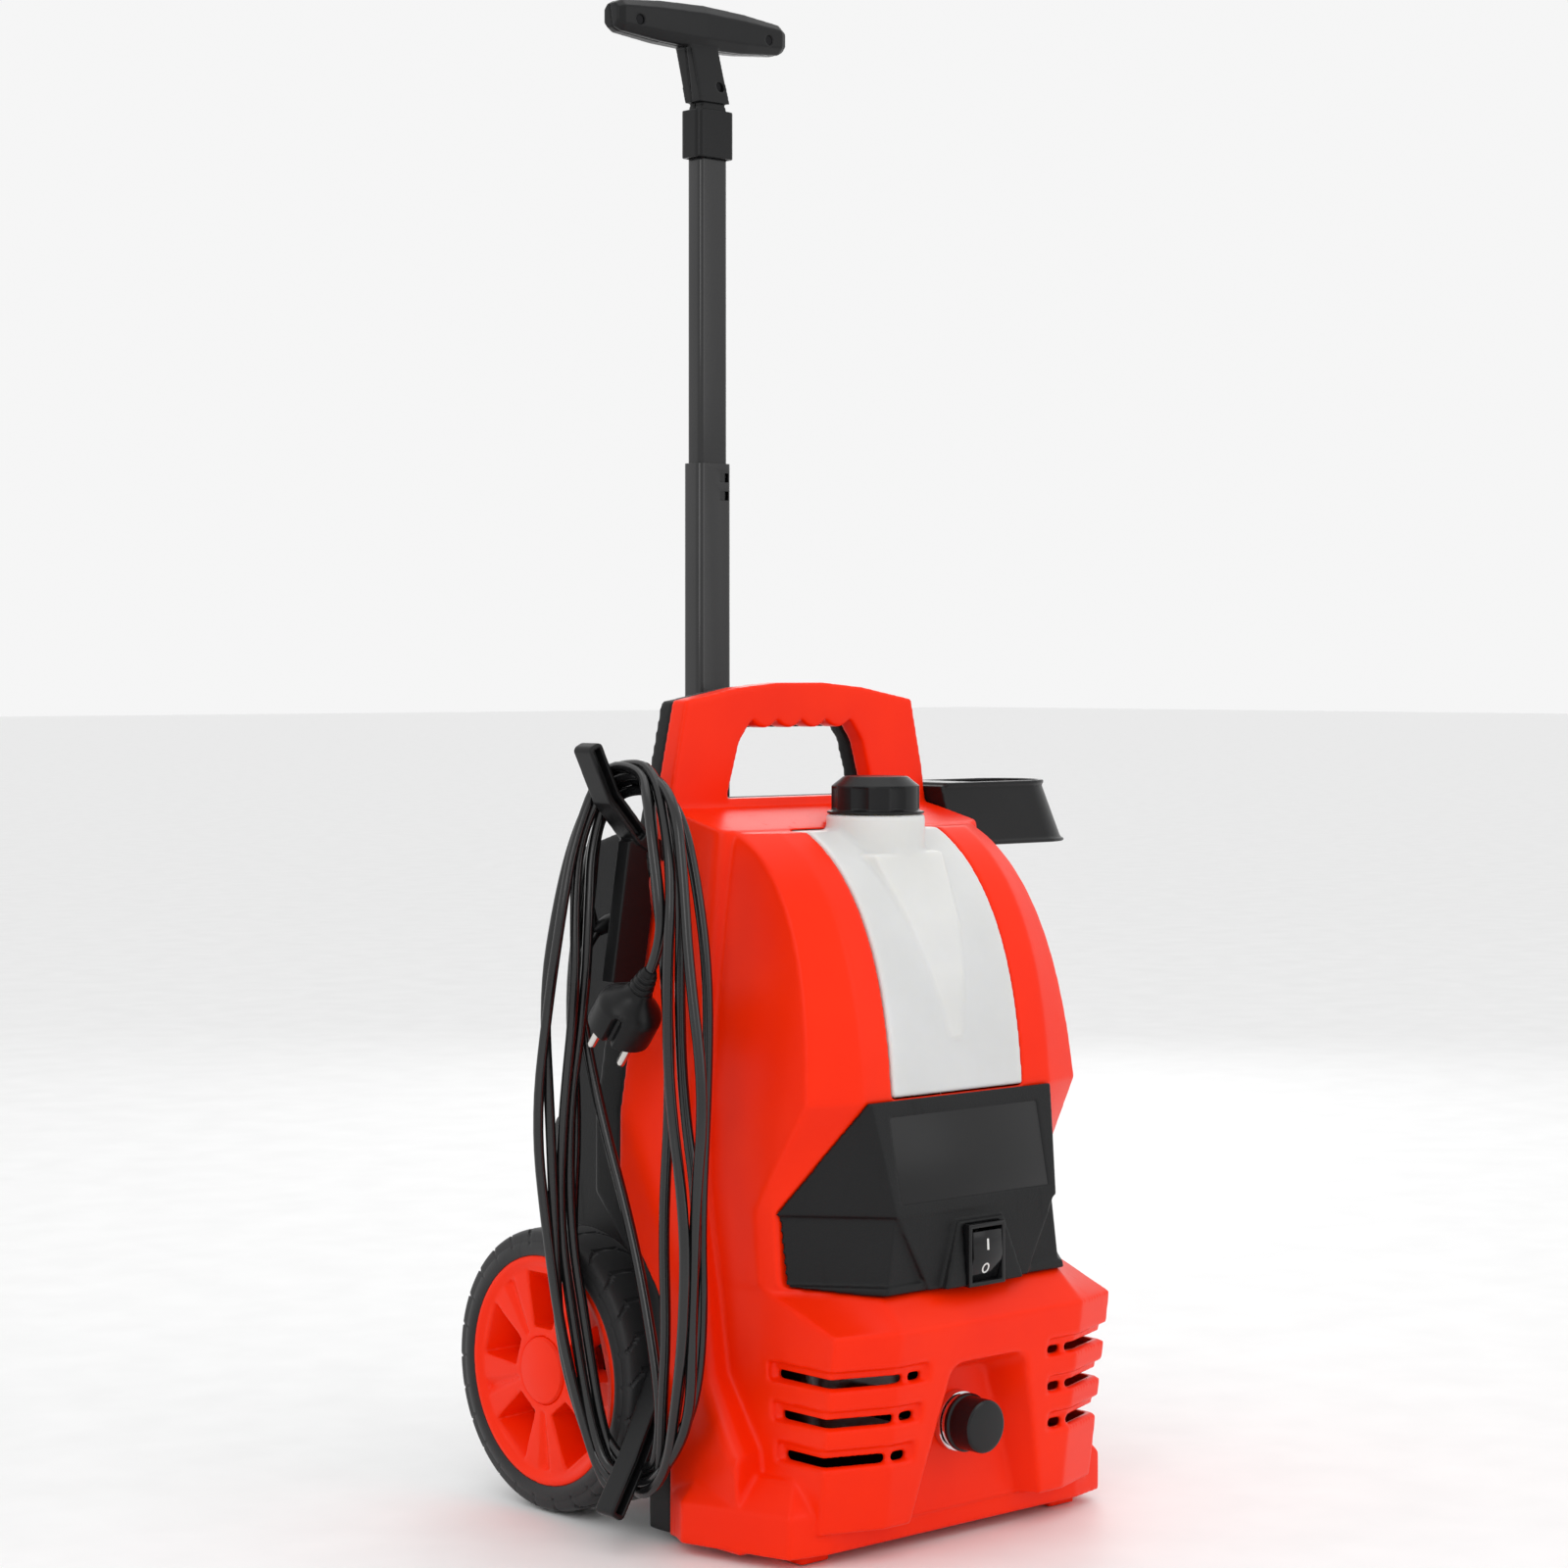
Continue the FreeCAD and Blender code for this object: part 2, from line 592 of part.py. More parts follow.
# ---------------------------------------------------------------- rear casing
def rear_block(name, inset):
    """Back half: the black band behind the parting line and the housing behind it."""
    body = new_body(name)
    front = -1 if num(inset) else 0
    band = [
        (d.parting + front, 600), (d.parting + front, d.arch_start), (d.arch_parting + front, d.arch_end),
        (d.foot_parting + front, 40), (d.foot_parting + front, d.casing_foot_top),
        (d.band_foot_back - inset, d.casing_foot_top), (d.band_foot_back + 3 - inset, d.arch_end),
        (d.band_mid_back - inset, d.neck_top + inset * 0.5), (d.band_mid_back + 1 - inset, 315),
        (d.band_top_back + 5 - inset, 384), (d.band_top_back - inset, 419), (d.band_top_back - inset, 600),
    ]
    reach = 140.0
    pad(body, polygon(body, "side", -reach, band), 2 * reach)
    trim_to_silhouette(body, inset + 0.8, 60, 220)
    hull = [
        (-26, 30 + inset), (-26, 130), (10, 184), (10, 396 - inset),
        (16, 396 - inset), (100 - inset, 371 - inset), (104 - inset, 364 - inset), (104 - inset, 224),
        (118 - inset, 214), (118 - inset, 154), (104 - inset, 145), (104 - inset, 42 + inset),
        (92 - inset, 30 + inset),
    ]
    side = 88 - inset
    pad(body, polygon(body, "side", 0 - side, hull), 2 * side)
    return body


SCREW_SPOTS = ((74, 430, 16), (95, 330, 27), (106, 230, 27.2))


def make_rear_shell():
    outer = rear_block("rear_outer", 0)
    round_edges(outer, 9, lambda edge: abs(abs(edge.CenterOfMass.x) - 88) < 0.5
                and edge.CenterOfMass.y > 90 and edge.BoundBox.XLength < 1)
    handle_hole(outer)
    finger_waves(outer, d.band_top_back, d.band_top_back - d.parting)
    for z in (348, 340):
        groove = polygon(outer, "top", z, rectangle(-90, 102.5, 90, 120), rectangle(-100, 40, -87, 104),
                         rectangle(87, 40, 100, 104))
        cut(outer, groove, 3)
    for x, z, face in SCREW_SPOTS:
        cut(outer, circles(outer, "front", face + 3, (x, z, 3.6), (0 - x, z, 3.6)), 11)
    for side in (-1, 1):
        boss = circles(outer, "side", 88 if side > 0 else -97, (d.axle_y, d.axle_z, 15))
        pad(outer, boss, 9)
    inner = rear_block("rear_hollow", d.wall)
    cut(inner, polygon(inner, "top", d.dome_cap - 4, rectangle(-150, -60, 150, 200)), 250)
    hollowed = boolean("Cut", outer, inner, "rear_hollowed")
    pole_hole = doc.addObject("Part::Box", "pole_hole")
    bind(pole_hole, "Length", d.outer_wide + 2 * (d.guide_wall + d.gap))
    bind(pole_hole, "Width", d.outer_deep + 2 * (d.guide_wall + d.gap))
    pole_hole.Height = 80
    bind(pole_hole, "Placement.Base.x", 0 - (d.outer_wide / 2 + d.guide_wall + d.gap))
    bind(pole_hole, "Placement.Base.y", d.pole_y - d.outer_deep / 2 - d.guide_wall - d.gap)
    bind(pole_hole, "Placement.Base.z", d.dome_cap - 28)
    opened = boolean("Cut", hollowed, pole_hole, "rear_opened")
    shell = drilled(opened, "axle_hole", d.axle_radius, (-120, d.axle_y, d.axle_z), "right", 240)
    shell = drilled(shell, "inlet_hole", d.inlet_radius, (d.inlet_x, 90, d.inlet_z), "back", 30)
    shell = drilled(shell, "gland_hole", d.gland_radius, (-90, d.gland_y, d.gland_z), "left", 30)
    node(seat(shell), "rear_shell")


# ---------------------------------------------------------------- panel and switch
def panel_level(body, z, tip, front, inset):
    """One level section of the panel cover, open side against the casing's neck."""
    points = [(tip[0] - inset * 2, tip[1] - d.gap + inset), (front[0] - inset, front[1] + inset)]
    return polygon(body, "top", z, mirrored(points))


def panel_upper(body, inset):
    """The label face and its side facets, down to the brow."""
    return [
        panel_level(body, d.panel_top - inset * 1.5, (d.strip_half - 1, -137),
                    (d.panel_top_half, d.panel_face_top), inset),
        panel_level(body, d.panel_brow + inset, (d.panel_tip_half, d.neck_seat),
                    (d.panel_brow_half, d.panel_brow_face), inset),
    ]


def panel_lower(body, inset):
    """The cheeks under the brow, one step further back."""
    step = d.panel_step
    tip_half = d.panel_tip_half - step * 1.2
    face = d.panel_brow_face + step
    return [
        panel_level(body, d.panel_brow + inset, (tip_half, d.neck_seat),
                    (d.panel_brow_half - step * 0.4, face), inset),
        panel_level(body, d.neck_base + 1, (tip_half, d.neck_seat - 6),
                    (d.panel_foot_half - 1.5 - step * 0.4, face), inset),
    ]


def make_control_panel():
    body = new_body("panel_outer")
    loft(body, panel_upper(body, 0))
    loft(body, panel_lower(body, 0))
    foot = d.ledge_top + 0.6
    rim_top = mirrored([(d.panel_tip_half, d.neck_seat - 6 - d.gap),
                        (d.panel_foot_half - 1, d.panel_brow_face + 0.8)])
    rim_foot = mirrored([(d.panel_foot_half + 8, -140), (d.panel_foot_half, d.panel_brow_face + 0.5)])
    loft(body, [polygon(body, "top", d.neck_base + 1, rim_top), polygon(body, "top", foot, rim_foot)])
    tongue_top = mirrored([(d.tongue_top_half - 2, -141), (d.tongue_top_half, d.panel_brow_face + 0.5)])
    tongue_foot = mirrored([(d.tongue_foot_half + 2, -141), (d.tongue_foot_half, d.panel_brow_face - 1)])
    loft(body, [polygon(body, "top", d.panel_brow, tongue_top), polygon(body, "top", foot, tongue_foot)])
    boss_top = polygon(body, "top", d.boss_top, mirrored([(d.boss_top_half, -140),
                                                          (d.boss_top_half - 2, d.boss_face_top)]))
    boss_foot = polygon(body, "top", d.ledge_top + 0.6, mirrored([(d.boss_foot_half, -140),
                                                            (d.boss_foot_half - 2, d.boss_face_foot + 0.5)]))
    loft(body, [boss_top, boss_foot])
    switch = rectangle(0 - d.switch_half + 1, d.switch_z - d.switch_high / 2 + 1,
                       d.switch_half - 1, d.switch_z + d.switch_high / 2 - 1)
    cut(body, polygon(body, "front", -95, switch), 90)
    flange = rectangle(-0.1 - d.switch_half, d.switch_z - d.switch_high / 2 - 0.1,
                       d.switch_half + 0.1, d.switch_z + d.switch_high / 2 + 0.1)
    cut(body, polygon(body, "front", d.bezel_seat, flange), 20)
    hollow = new_body("panel_hollow")
    loft(hollow, panel_upper(hollow, d.wall))
    loft(hollow, panel_lower(hollow, d.wall))
    drop = polygon(hollow, "top", d.ledge_top - 10, mirrored([(d.panel_tip_half - 15, d.neck_seat - 8),
                                                        (d.panel_foot_half - 6, -146)]))
    pad(hollow, drop, 20)
    plate_cut = new_body("plate_cut")
    wedge_top = polygon(plate_cut, "top", d.plate_top, rectangle(0 - d.plate_half, -160, d.plate_half, -139.9))
    wedge_foot = polygon(plate_cut, "top", d.plate_base, rectangle(0 - d.plate_half, -165, d.plate_half, -149.3))
    loft(plate_cut, [wedge_top, wedge_foot])
    shaped = boolean("Cut", body, hollow, "panel_hollowed")
    node(seat(boolean("Cut", shaped, plate_cut, "control_panel")), "control_panel")


def make_panel_plate():
    """Blank smooth plate that lies in the panel's recess."""
    body = new_body("panel_plate")
    inset = d.gap
    half = d.plate_half - inset
    high = polygon(body, "top", d.plate_top - inset, rectangle(0 - half, -140.6, half, -139.9 - 0.15))
    low = polygon(body, "top", d.plate_base + inset, rectangle(0 - half, -150.0, half, -149.3 - 0.15))
    loft(body, [high, low])
    node(seat(body), "panel_plate")


def make_switch():
    bezel = new_body("switch_bezel")
    z_low = d.switch_z - d.switch_high / 2
    z_high = d.switch_z + d.switch_high / 2
    frame = rectangle(0 - d.switch_half, z_low, d.switch_half, z_high)
    hole = rectangle(0 - d.rocker_half - 0.5, z_low + d.switch_rim, d.rocker_half + 0.5, z_high - d.switch_rim)
    pad(bezel, polygon(bezel, "front", d.bezel_seat, frame, hole), d.bezel_seat - d.bezel_face)
    sleeve = rectangle(1.3 - d.switch_half, z_low + 1.3, d.switch_half - 1.3, z_high - 1.3)
    pad(bezel, polygon(bezel, "front", d.switch_back, sleeve, hole), d.switch_back - d.bezel_seat)
    pad(bezel, polygon(bezel, "front", d.switch_back, sleeve), 2.5)
    pivot = (d.rocker_axis_y, d.switch_z, d.pivot_radius + d.run_gap)
    cut(bezel, circles(bezel, "side", -12.4, pivot), 24.8)
    node(seat(bezel), "switch_bezel")
    rocker = new_body("switch_rocker")
    half_high = d.rocker_high / 2
    side = [(-6.8, 0 - half_high), (-9.6, 0), (-6.8, half_high), (4, half_high - 4), (8, 0), (4, 4 - half_high)]
    pad(rocker, polygon(rocker, "side", 0 - d.rocker_half, side), 2 * d.rocker_half)
    pad(rocker, circles(rocker, "side", -12.2, (0, 0, d.pivot_radius)), 24.4)
    tilt = Rotation(Vector(1, 0, 0), num(d.rocker_tilt))
    node(seat(rocker, 0, d.rocker_axis_y, d.switch_z, rotation=tilt), "switch_rocker")


# ---------------------------------------------------------------- tank
def make_tank():
    body = tank_block("tank_outer", 0, 0)
    pad(body, circles(body, "top", 345, (0, d.neck_y, d.neck_radius)), d.neck_mouth - 345)
    pad(body, circles(body, "top", d.neck_mouth - 6, (0, d.neck_y, d.cap_radius - 4)), 18)
    ribs = []
    for z, half, out in ((376, 26, -97.4), (340, 19, -117.5), (310, 12, -128.5), (276, 4, -135.6)):
        points = [(half + 3, out + 8), (half, out)]
        ribs.append(polygon(body, "top", z, mirrored(points)))
    loft(body, ribs)
    hollow = tank_block("tank_hollow", 0, d.tank_wall)
    pad(hollow, circles(hollow, "top", 350, (0, d.neck_y, d.tank_bore)), 70)
    node(seat(boolean("Cut", body, hollow, "detergent_tank")), "detergent_tank")


def turned(label, facing, spot, profile):
    """A sub-part of revolution: profile of (radius, height) along its own axis."""
    body = new_body(label)
    turn(body, polygon(body, "front", 0, profile))
    return node(seat(body, *spot, facing=facing), label)


def make_cap():
    body = new_body("tank_cap")
    r, high = d.cap_radius, d.cap_high
    profile = [(0, high), (0, high - 3), (r - 3.6, high - 3), (r - 3.6, 1.3), (r - 3.6, 0), (r + 2.5, 0),
               (r + 2.5, 1.3), (r, 1.6), (r, high - 5.5), (r - 7, high)]
    turn(body, polygon(body, "front", 0, profile))
    flute = cut(body, circles(body, "top", 2.2, (r + d.flute_radius - d.flute_deep, 0, d.flute_radius)),
                high - 8)
    pattern_round(body, flute, d.cap_flutes)
    node(seat(body, 0, d.neck_y, d.neck_mouth + 0.2), "tank_cap")
    inner = d.cap_radius - 7.5
    turned("cap_gasket", "up", (0, d.neck_y, d.neck_mouth + 12.4),
           [(inner, 0), (inner + 3.6, 0), (inner + 3.6, 2), (inner, 2)])


# ---------------------------------------------------------------- outlet and pump
def make_outlet():
    r, bore = d.coupling_radius, d.coupling_bore
    profile = [(bore, 0), (9, 0), (9, 91), (r, 93), (r, 104), (r - 1.5, 104.5), (r - 1.5, 114), (r - 3, 116),
               (bore, 116)]
    turned("outlet_coupling", "forward", (d.outlet_x, -40, d.outlet_z), profile)
    r = d.dust_radius
    cap = [(0, 17), (0, 14.5), (r - 4, 14.5), (r - 1.2, 13), (r - 0.7, 0), (d.dust_flange, 0),
           (d.dust_flange, 1.4), (r + 1.2, 3), (r, 5), (r, 16), (r - 1, 17)]
    turned("outlet_dust_cap", "forward", (d.outlet_x, d.cap_face_y + 17, d.outlet_z), cap)


def make_pump():
    body = new_body("pump_head")
    half = d.pump_half
    pad(body, polygon(body, "top", 0, rectangle(0 - half, 0 - half, half, half)), d.pump_high)
    round_edges(body, 12, upright)
    cut(body, circles(body, "top", d.pump_high - 30, *[
        (d.piston_circle * math.cos(turn_at), d.piston_circle * math.sin(turn_at), d.piston_radius + 0.1)
        for turn_at in piston_angles()]), 30)
    hole = circles(body, "front", -18, (d.outlet_x, d.outlet_z - d.pump_base, 9.02))
    cut(body, hole, 60)
    node(seat(body, 0, d.motor_y, d.pump_base), "pump_head")
    rods = new_body("pistons")
    pad(rods, circles(rods, "top", 0, *[
        (d.piston_circle * math.cos(turn_at), d.piston_circle * math.sin(turn_at), d.piston_radius)
        for turn_at in piston_angles()]), d.piston_long)
    node(seat(rods, 0, d.motor_y, d.pump_base + d.pump_high - 20), "pistons")
    coils = doc.addObject("Part::Feature", "piston_springs")
    coils.Shape = Part.makeCompound([spring_ring(turn_at, level)
                                     for turn_at in piston_angles() for level in range(8)])
    node(seat(coils, 0, d.motor_y, d.pump_base + d.pump_high + 2), "piston_springs")


def piston_angles():
    count = int(num(d.pistons))
    return [math.radians(30 + 360 * i / count) for i in range(count)]


def spring_ring(turn_at, level):
    """One turn of a piston return spring."""
    centre = Vector(num(d.piston_circle) * math.cos(turn_at), num(d.piston_circle) * math.sin(turn_at),
                    4.2 * level + 1.2)
    return Part.makeTorus(num(d.piston_radius) + 1.9, 1.0, centre, Vector(0, 0, 1))


def make_motor():
    spot_y = d.motor_y
    r, high = d.stator_radius, d.stator_high
    turned("motor_stator", "up", (0, spot_y, d.stator_base),
           [(d.rotor_radius + 0.8, 12), (r, 12), (r, high - 12), (d.rotor_radius + 0.8, high - 12)])
    for label, z in (("lower_end_shield", d.stator_base - 6), ("upper_end_shield", d.stator_base + high - 12)):
        seat_r = d.bearing_radius + 0.02
        turned(label, "up", (0, spot_y, z),
               [(seat_r, 0), (r + 2, 0), (r + 2, 17.5), (r - 4, 17.5), (r - 4, 9), (seat_r, 9)])
    for label, z in (("lower_bearing", d.stator_base - 6), ("upper_bearing", d.stator_base + high - 12)):
        bore = d.shaft_radius + d.run_gap
        turned(label, "up", (0, spot_y, z), [(bore, 0), (d.bearing_radius, 0),
                                             (d.bearing_radius, d.bearing_high), (bore, d.bearing_high)])
    turned("rotor_core", "up", (0, spot_y, d.stator_base + 14),
           [(d.shaft_radius, 0), (d.rotor_radius, 0), (d.rotor_radius, 62), (d.shaft_radius, 62)])
    turned("rotor_shaft", "up", (0, spot_y, d.stator_base - 18),
           [(0, 0), (d.shaft_radius, 0), (d.shaft_radius, 152), (0, 152)])
    fan = new_body("cooling_fan")
    turn(fan, polygon(fan, "front", 0, [(d.shaft_radius, 0), (d.fan_radius, 0), (d.fan_radius, 1.6),
                                        (11, 1.6), (11, 14), (d.shaft_radius, 14)]))
    blade = pad(fan, polygon(fan, "top", 1, rectangle(10, -0.8, 36, 0.8)), 13)
    pattern_round(fan, blade, 9)
    node(seat(fan, 0, spot_y, d.stator_base + 112), "cooling_fan")
    wobble = new_body("wobble_plate")
    low = circles(wobble, "top", 0, (0, 0, 29))
    pad(wobble, low, 4)
    pad(wobble, circles(wobble, "top", 3.9, (0, 0, 28)), 9)
    cut(wobble, polygon(wobble, "front", 40, [(-40, 13.5), (-40, 12), (40, 5), (40, 13.5)]), 80)
    cut(wobble, circles(wobble, "top", -1, (0, 0, d.shaft_radius)), 30)
    flip = Rotation(Vector(1, 0, 0), 180)
    node(seat(wobble, 0, spot_y, d.stator_base - 8, rotation=flip), "wobble_plate")


# ---------------------------------------------------------------- wheels
def make_wheel(side, facing, sign):
    r, wide = d.rim_radius, d.wheel_wide
    x_inner = (d.wheel_outer - wide) * sign
    rim = new_body(f"{side}_wheel_rim")
    bore = d.axle_radius + d.run_gap
    profile = [(bore, 0), (13, 0), (13, 13), (r - 8, 13), (r - 5, 2), (r, 2), (r, wide - 1.5), (r - 3, wide - 1.5),
               (r - 7, wide - 3.5), (22, wide - 2), (19.2, wide - 2), (19.2, wide - 7), (15, wide - 7),
               (15, wide - 15), (bore, wide - 15)]
    turn(rim, polygon(rim, "front", 0, profile))
    outer = polygon(rim, "top", wide + 1, [(24, -8.5), (57, -17.5), (57, 17.5), (24, 8.5)])
    inner = polygon(rim, "top", 8, [(24, -5.5), (44, -9.5), (44, 9.5), (24, 5.5)])
    window = loft(rim, [outer, inner], add=False)
    pattern_round(rim, window, d.wheel_windows)
    wide_end = polygon(rim, "side", -57, [(-6.5, wide - 3), (0, wide - 6.2), (6.5, wide - 3)])
    hub_end = polygon(rim, "side", -23, [(-2.6, wide - 1.5), (0, wide - 3.6), (2.6, wide - 1.5)])
    groove = loft(rim, [wide_end, hub_end], add=False)
    pattern_round(rim, groove, d.wheel_windows)
    node(seat(rim, x_inner, d.axle_y, d.axle_z, facing=facing), f"{side}_wheel_rim")
    big = d.wheel_radius
    tread = [(r, 2), (r + 6, 0.6), (big - 7, 1.5), (big - 1.5, 5), (big, 10), (big, wide - 10), (big - 1.5, wide - 5),
             (big - 7, wide - 0.6), (r + 4, wide), (r, wide - 1.5)]
    turned(f"{side}_tyre", facing, (x_inner, d.axle_y, d.axle_z), tread)
    turned(f"{side}_hub_cap", facing, (x_inner, d.axle_y, d.axle_z),
           [(0, wide - 4), (19.2, wide - 4), (19.2, wide - 2), (18, wide - 0.4), (0, wide)])


def make_axle():
    half = d.wheel_outer - 9
    turned("wheel_axle", "right", (0 - half, d.axle_y, d.axle_z),
           [(0, 0), (d.axle_radius, 0), (d.axle_radius, 2 * half), (0, 2 * half)])
    for label, build_radius, thick, place in (
            ("axle_washers", 12, 2.4, d.wheel_outer - d.wheel_wide - 3.0),
            ("axle_lock_nuts", 10, 3.5, d.wheel_outer - 13.6)):
        pair = new_body(label)
        for sign in (-1, 1):
            at = place if sign > 0 else 0 - place - thick
            sketch = circles(pair, "side", at, (0, 0, build_radius), (0, 0, d.axle_radius))
            pad(pair, sketch, thick)
        pair.AllowCompound = True
        node(seat(pair, 0, d.axle_y, d.axle_z), label)


# ---------------------------------------------------------------- telescopic handle
def tube(label, wide, deep, wall, base, top, corner, windows=()):
    body = new_body(label)
    half_w, half_d = wide / 2, deep / 2
    pad(body, polygon(body, "top", base, rectangle(0 - half_w, 0 - half_d, half_w, half_d)), top - base)
    round_edges(body, corner, upright)
    inside = rectangle(wall - half_w, wall - half_d, half_w - wall, half_d - wall)
    cut(body, polygon(body, "top", base - 1, inside), top - base + 2)
    edge_x = num(half_w - wall)
    round_edges(body, corner - wall, lambda edge: upright(edge) and abs(abs(edge.CenterOfMass.x) - edge_x) < 0.01
                and edge.BoundBox.ZLength > 100)
    for x_low, z_low, x_high, z_high in windows:
        cut(body, polygon(body, "front", -2, rectangle(x_low, z_low, x_high, z_high)), 12)
    return node(seat(body, 0, d.pole_y, 0), label)


def make_handle():
    guide_wide = d.outer_wide + 2 * (d.guide_wall + d.gap) - 0.2
    guide_deep = d.outer_deep + 2 * (d.guide_wall + d.gap) - 0.2
    tube("handle_guide", guide_wide, guide_deep, d.guide_wall - 0.1, d.guide_base, d.guide_top, 2.5)
    snaps = [(3, 590.4, 10, 595.8), (3, 579.6, 10, 585.0)]
    tube("handle_outer_tube", d.outer_wide, d.outer_deep, d.outer_wall, d.outer_base, d.outer_top, 4, snaps)
    tube("handle_inner_tube", d.inner_wide, d.inner_deep, d.inner_wall, d.inner_base, d.collar_top - 4, 3.2)
    button = new_body("handle_lock_button")
    in_w = d.inner_wide - 2 * d.inner_wall - 2 * d.gap
    in_d = d.inner_deep - 2 * d.inner_wall - 2 * d.gap
    pad(button, polygon(button, "top", d.inner_base + 2, rectangle(0 - in_w / 2, 0 - in_d / 2, in_w / 2,
                                                                   in_d / 2)), 22)
    round_edges(button, 2.2, upright)
    node(seat(button, 0, d.pole_y, 0), "handle_lock_button")
    collar = new_body("handle_collar")
    half_w, half_d = d.collar_wide / 2, d.collar_deep / 2
    pad(collar, polygon(collar, "top", d.collar_base, rectangle(0 - half_w, 0 - half_d, half_w, half_d)),
        d.collar_top - d.collar_base)
    round_edges(collar, 4, upright)
    hole = rectangle(0 - d.inner_wide / 2, 0 - d.inner_deep / 2, d.inner_wide / 2, d.inner_deep / 2)
    cut(collar, polygon(collar, "top", d.collar_base - 1, hole), d.collar_top - d.collar_base - 3)
    node(seat(collar, 0, d.pole_y, 0), "handle_collar")
    make_grip()


def grip_body(name):
    """Stem and barrel-shaped bar of the grip in one solid, split later into two halves."""
    body = new_body(name)
    foot = polygon(body, "top", d.collar_top, rectangle(-10, -6.5, 10, 6.5))
    throat = polygon(body, "top", d.collar_top + 5, rectangle(-8.5, -5.8, 8.5, 5.8))
    loft(body, [foot, throat])
    lean = d.stem_lean
    low = polygon(body, "top", d.collar_top + 4.9, rectangle(-11.5, -7.5, 11.5, 7.5))
    high = polygon(body, "top", d.grip_base + 4, rectangle(-10.5, lean - 5, 10.5, lean + 10))
    loft(body, [low, high])
    centre_z = (d.grip_base + d.grip_top) / 2
    barrel = []
    for step, tall, deep in ((-1.0, 7, 6.5), (-0.93, 9.3, 8.6), (-0.5, 12, 10), (0, 13.2, 11), (0.5, 12, 10),
                             (0.93, 9.3, 8.6), (1.0, 7, 6.5)):
        y_mid = d.grip_y - d.pole_y
        corner = 0.55
        loop = []
        for sy, sz in ((-1, -corner), (-corner, -1), (corner, -1), (1, -corner), (1, corner), (corner, 1),
                       (-corner, 1), (-1, corner)):
            loop.append((y_mid + sy * deep, centre_z + sz * tall))
        barrel.append(polygon(body, "side", d.grip_half * step, loop))
    loft(body, barrel)
    cut(body, circles(body, "front", 8, (-50.5, 861.4, 2.9), (50.5, 861.4, 2.9)), 40)
    cut(body, circles(body, "front", 1.5, (6.6, 827, 2.9)), 40)
    return body


def make_grip():
    tilt = Rotation(Vector(1, 0, 0), -11.2)
    foot = Vector(-100, 0, num(d.collar_top))
    for label, low in (("grip_front_half", -66), ("grip_rear_half", 0.02)):
        block = doc.addObject("Part::Box", f"{label}_side")
        block.Length = 200
        block.Width = 66
        block.Height = 120
        block.Placement = Placement(foot + tilt.multVec(Vector(0, low, -30)), tilt)
        half = boolean("Common", grip_body(f"{label}_solid"), block, label)
        node(seat(half, 0, d.pole_y, 0), label)
    screws = new_body("grip_screws")
    pad(screws, circles(screws, "front", 8, (-50.5, 861.4, 2.7), (50.5, 861.4, 2.7)), 6)
    pad(screws, circles(screws, "front", 1.5, (6.6, 827, 2.7)), 4)
    screws.AllowCompound = True
    node(seat(screws, 0, d.pole_y, 0), "grip_screws")


# ---------------------------------------------------------------- hooks and holder
def hook(label, line, y_mid, blade=()):
    """Bent moulded bar along the line, with a channel down each face."""
    body = new_body(label)
    pad(body, polygon(body, "front", y_mid + d.hook_wide / 2, bar_outline(line, d.hook_thick / 2)), d.hook_wide)
    channel = bar_outline(line[1:], d.hook_thick / 2 - 2.2, -3)
    deep = (d.hook_wide - d.hook_web) / 2
    cut(body, polygon(body, "front", y_mid + d.hook_wide / 2, channel), deep)
    cut(body, polygon(body, "front", y_mid - d.hook_web / 2, channel), deep)
    round_edges(body, 3.2, lambda edge: edge.BoundBox.YLength > 14 and edge.BoundBox.XLength < 0.1
                and edge.CenterOfMass.x < line[-1][0] + 9)
    if blade:
        pad(body, polygon(body, "front", y_mid + d.blade_wide / 2, blade), d.blade_wide)
    return node(seat(body), label)


def bar_outline(line, half, end=0):
    """Outline of a bent bar of even thickness round a centre line."""
    points = [Vector(x, z, 0) for x, z in line]
    size = num(half)
    left, right = [], []
    for i, point in enumerate(points):
        before = (point - points[i - 1]).normalize() if i else (points[1] - point).normalize()
        after = (points[i + 1] - point).normalize() if i + 1 < len(points) else before
        along = (before + after).normalize()
        side = Vector(-along.y, along.x, 0) * (size / math.cos(before.getAngle(after) / 2))
        if i + 1 == len(points):
            point = point + along * end
        left.append((point.x + side.x, point.y + side.y))
        right.append((point.x - side.x, point.y - side.y))
    return left + right[::-1]


def make_hooks():
    blade = [(-127, 383), (-116, 388), (-110.5, 343), (-117, 305), (-139, 305)]
    hook("upper_cable_hook", [(-99, 374), (-119, 385), (-139, 407), (-153.5, 437)], 0, blade)
    hook("lower_cable_hook", [(-124, 93), (-131, 79), (-147, 47), (-164, 19)], -32)


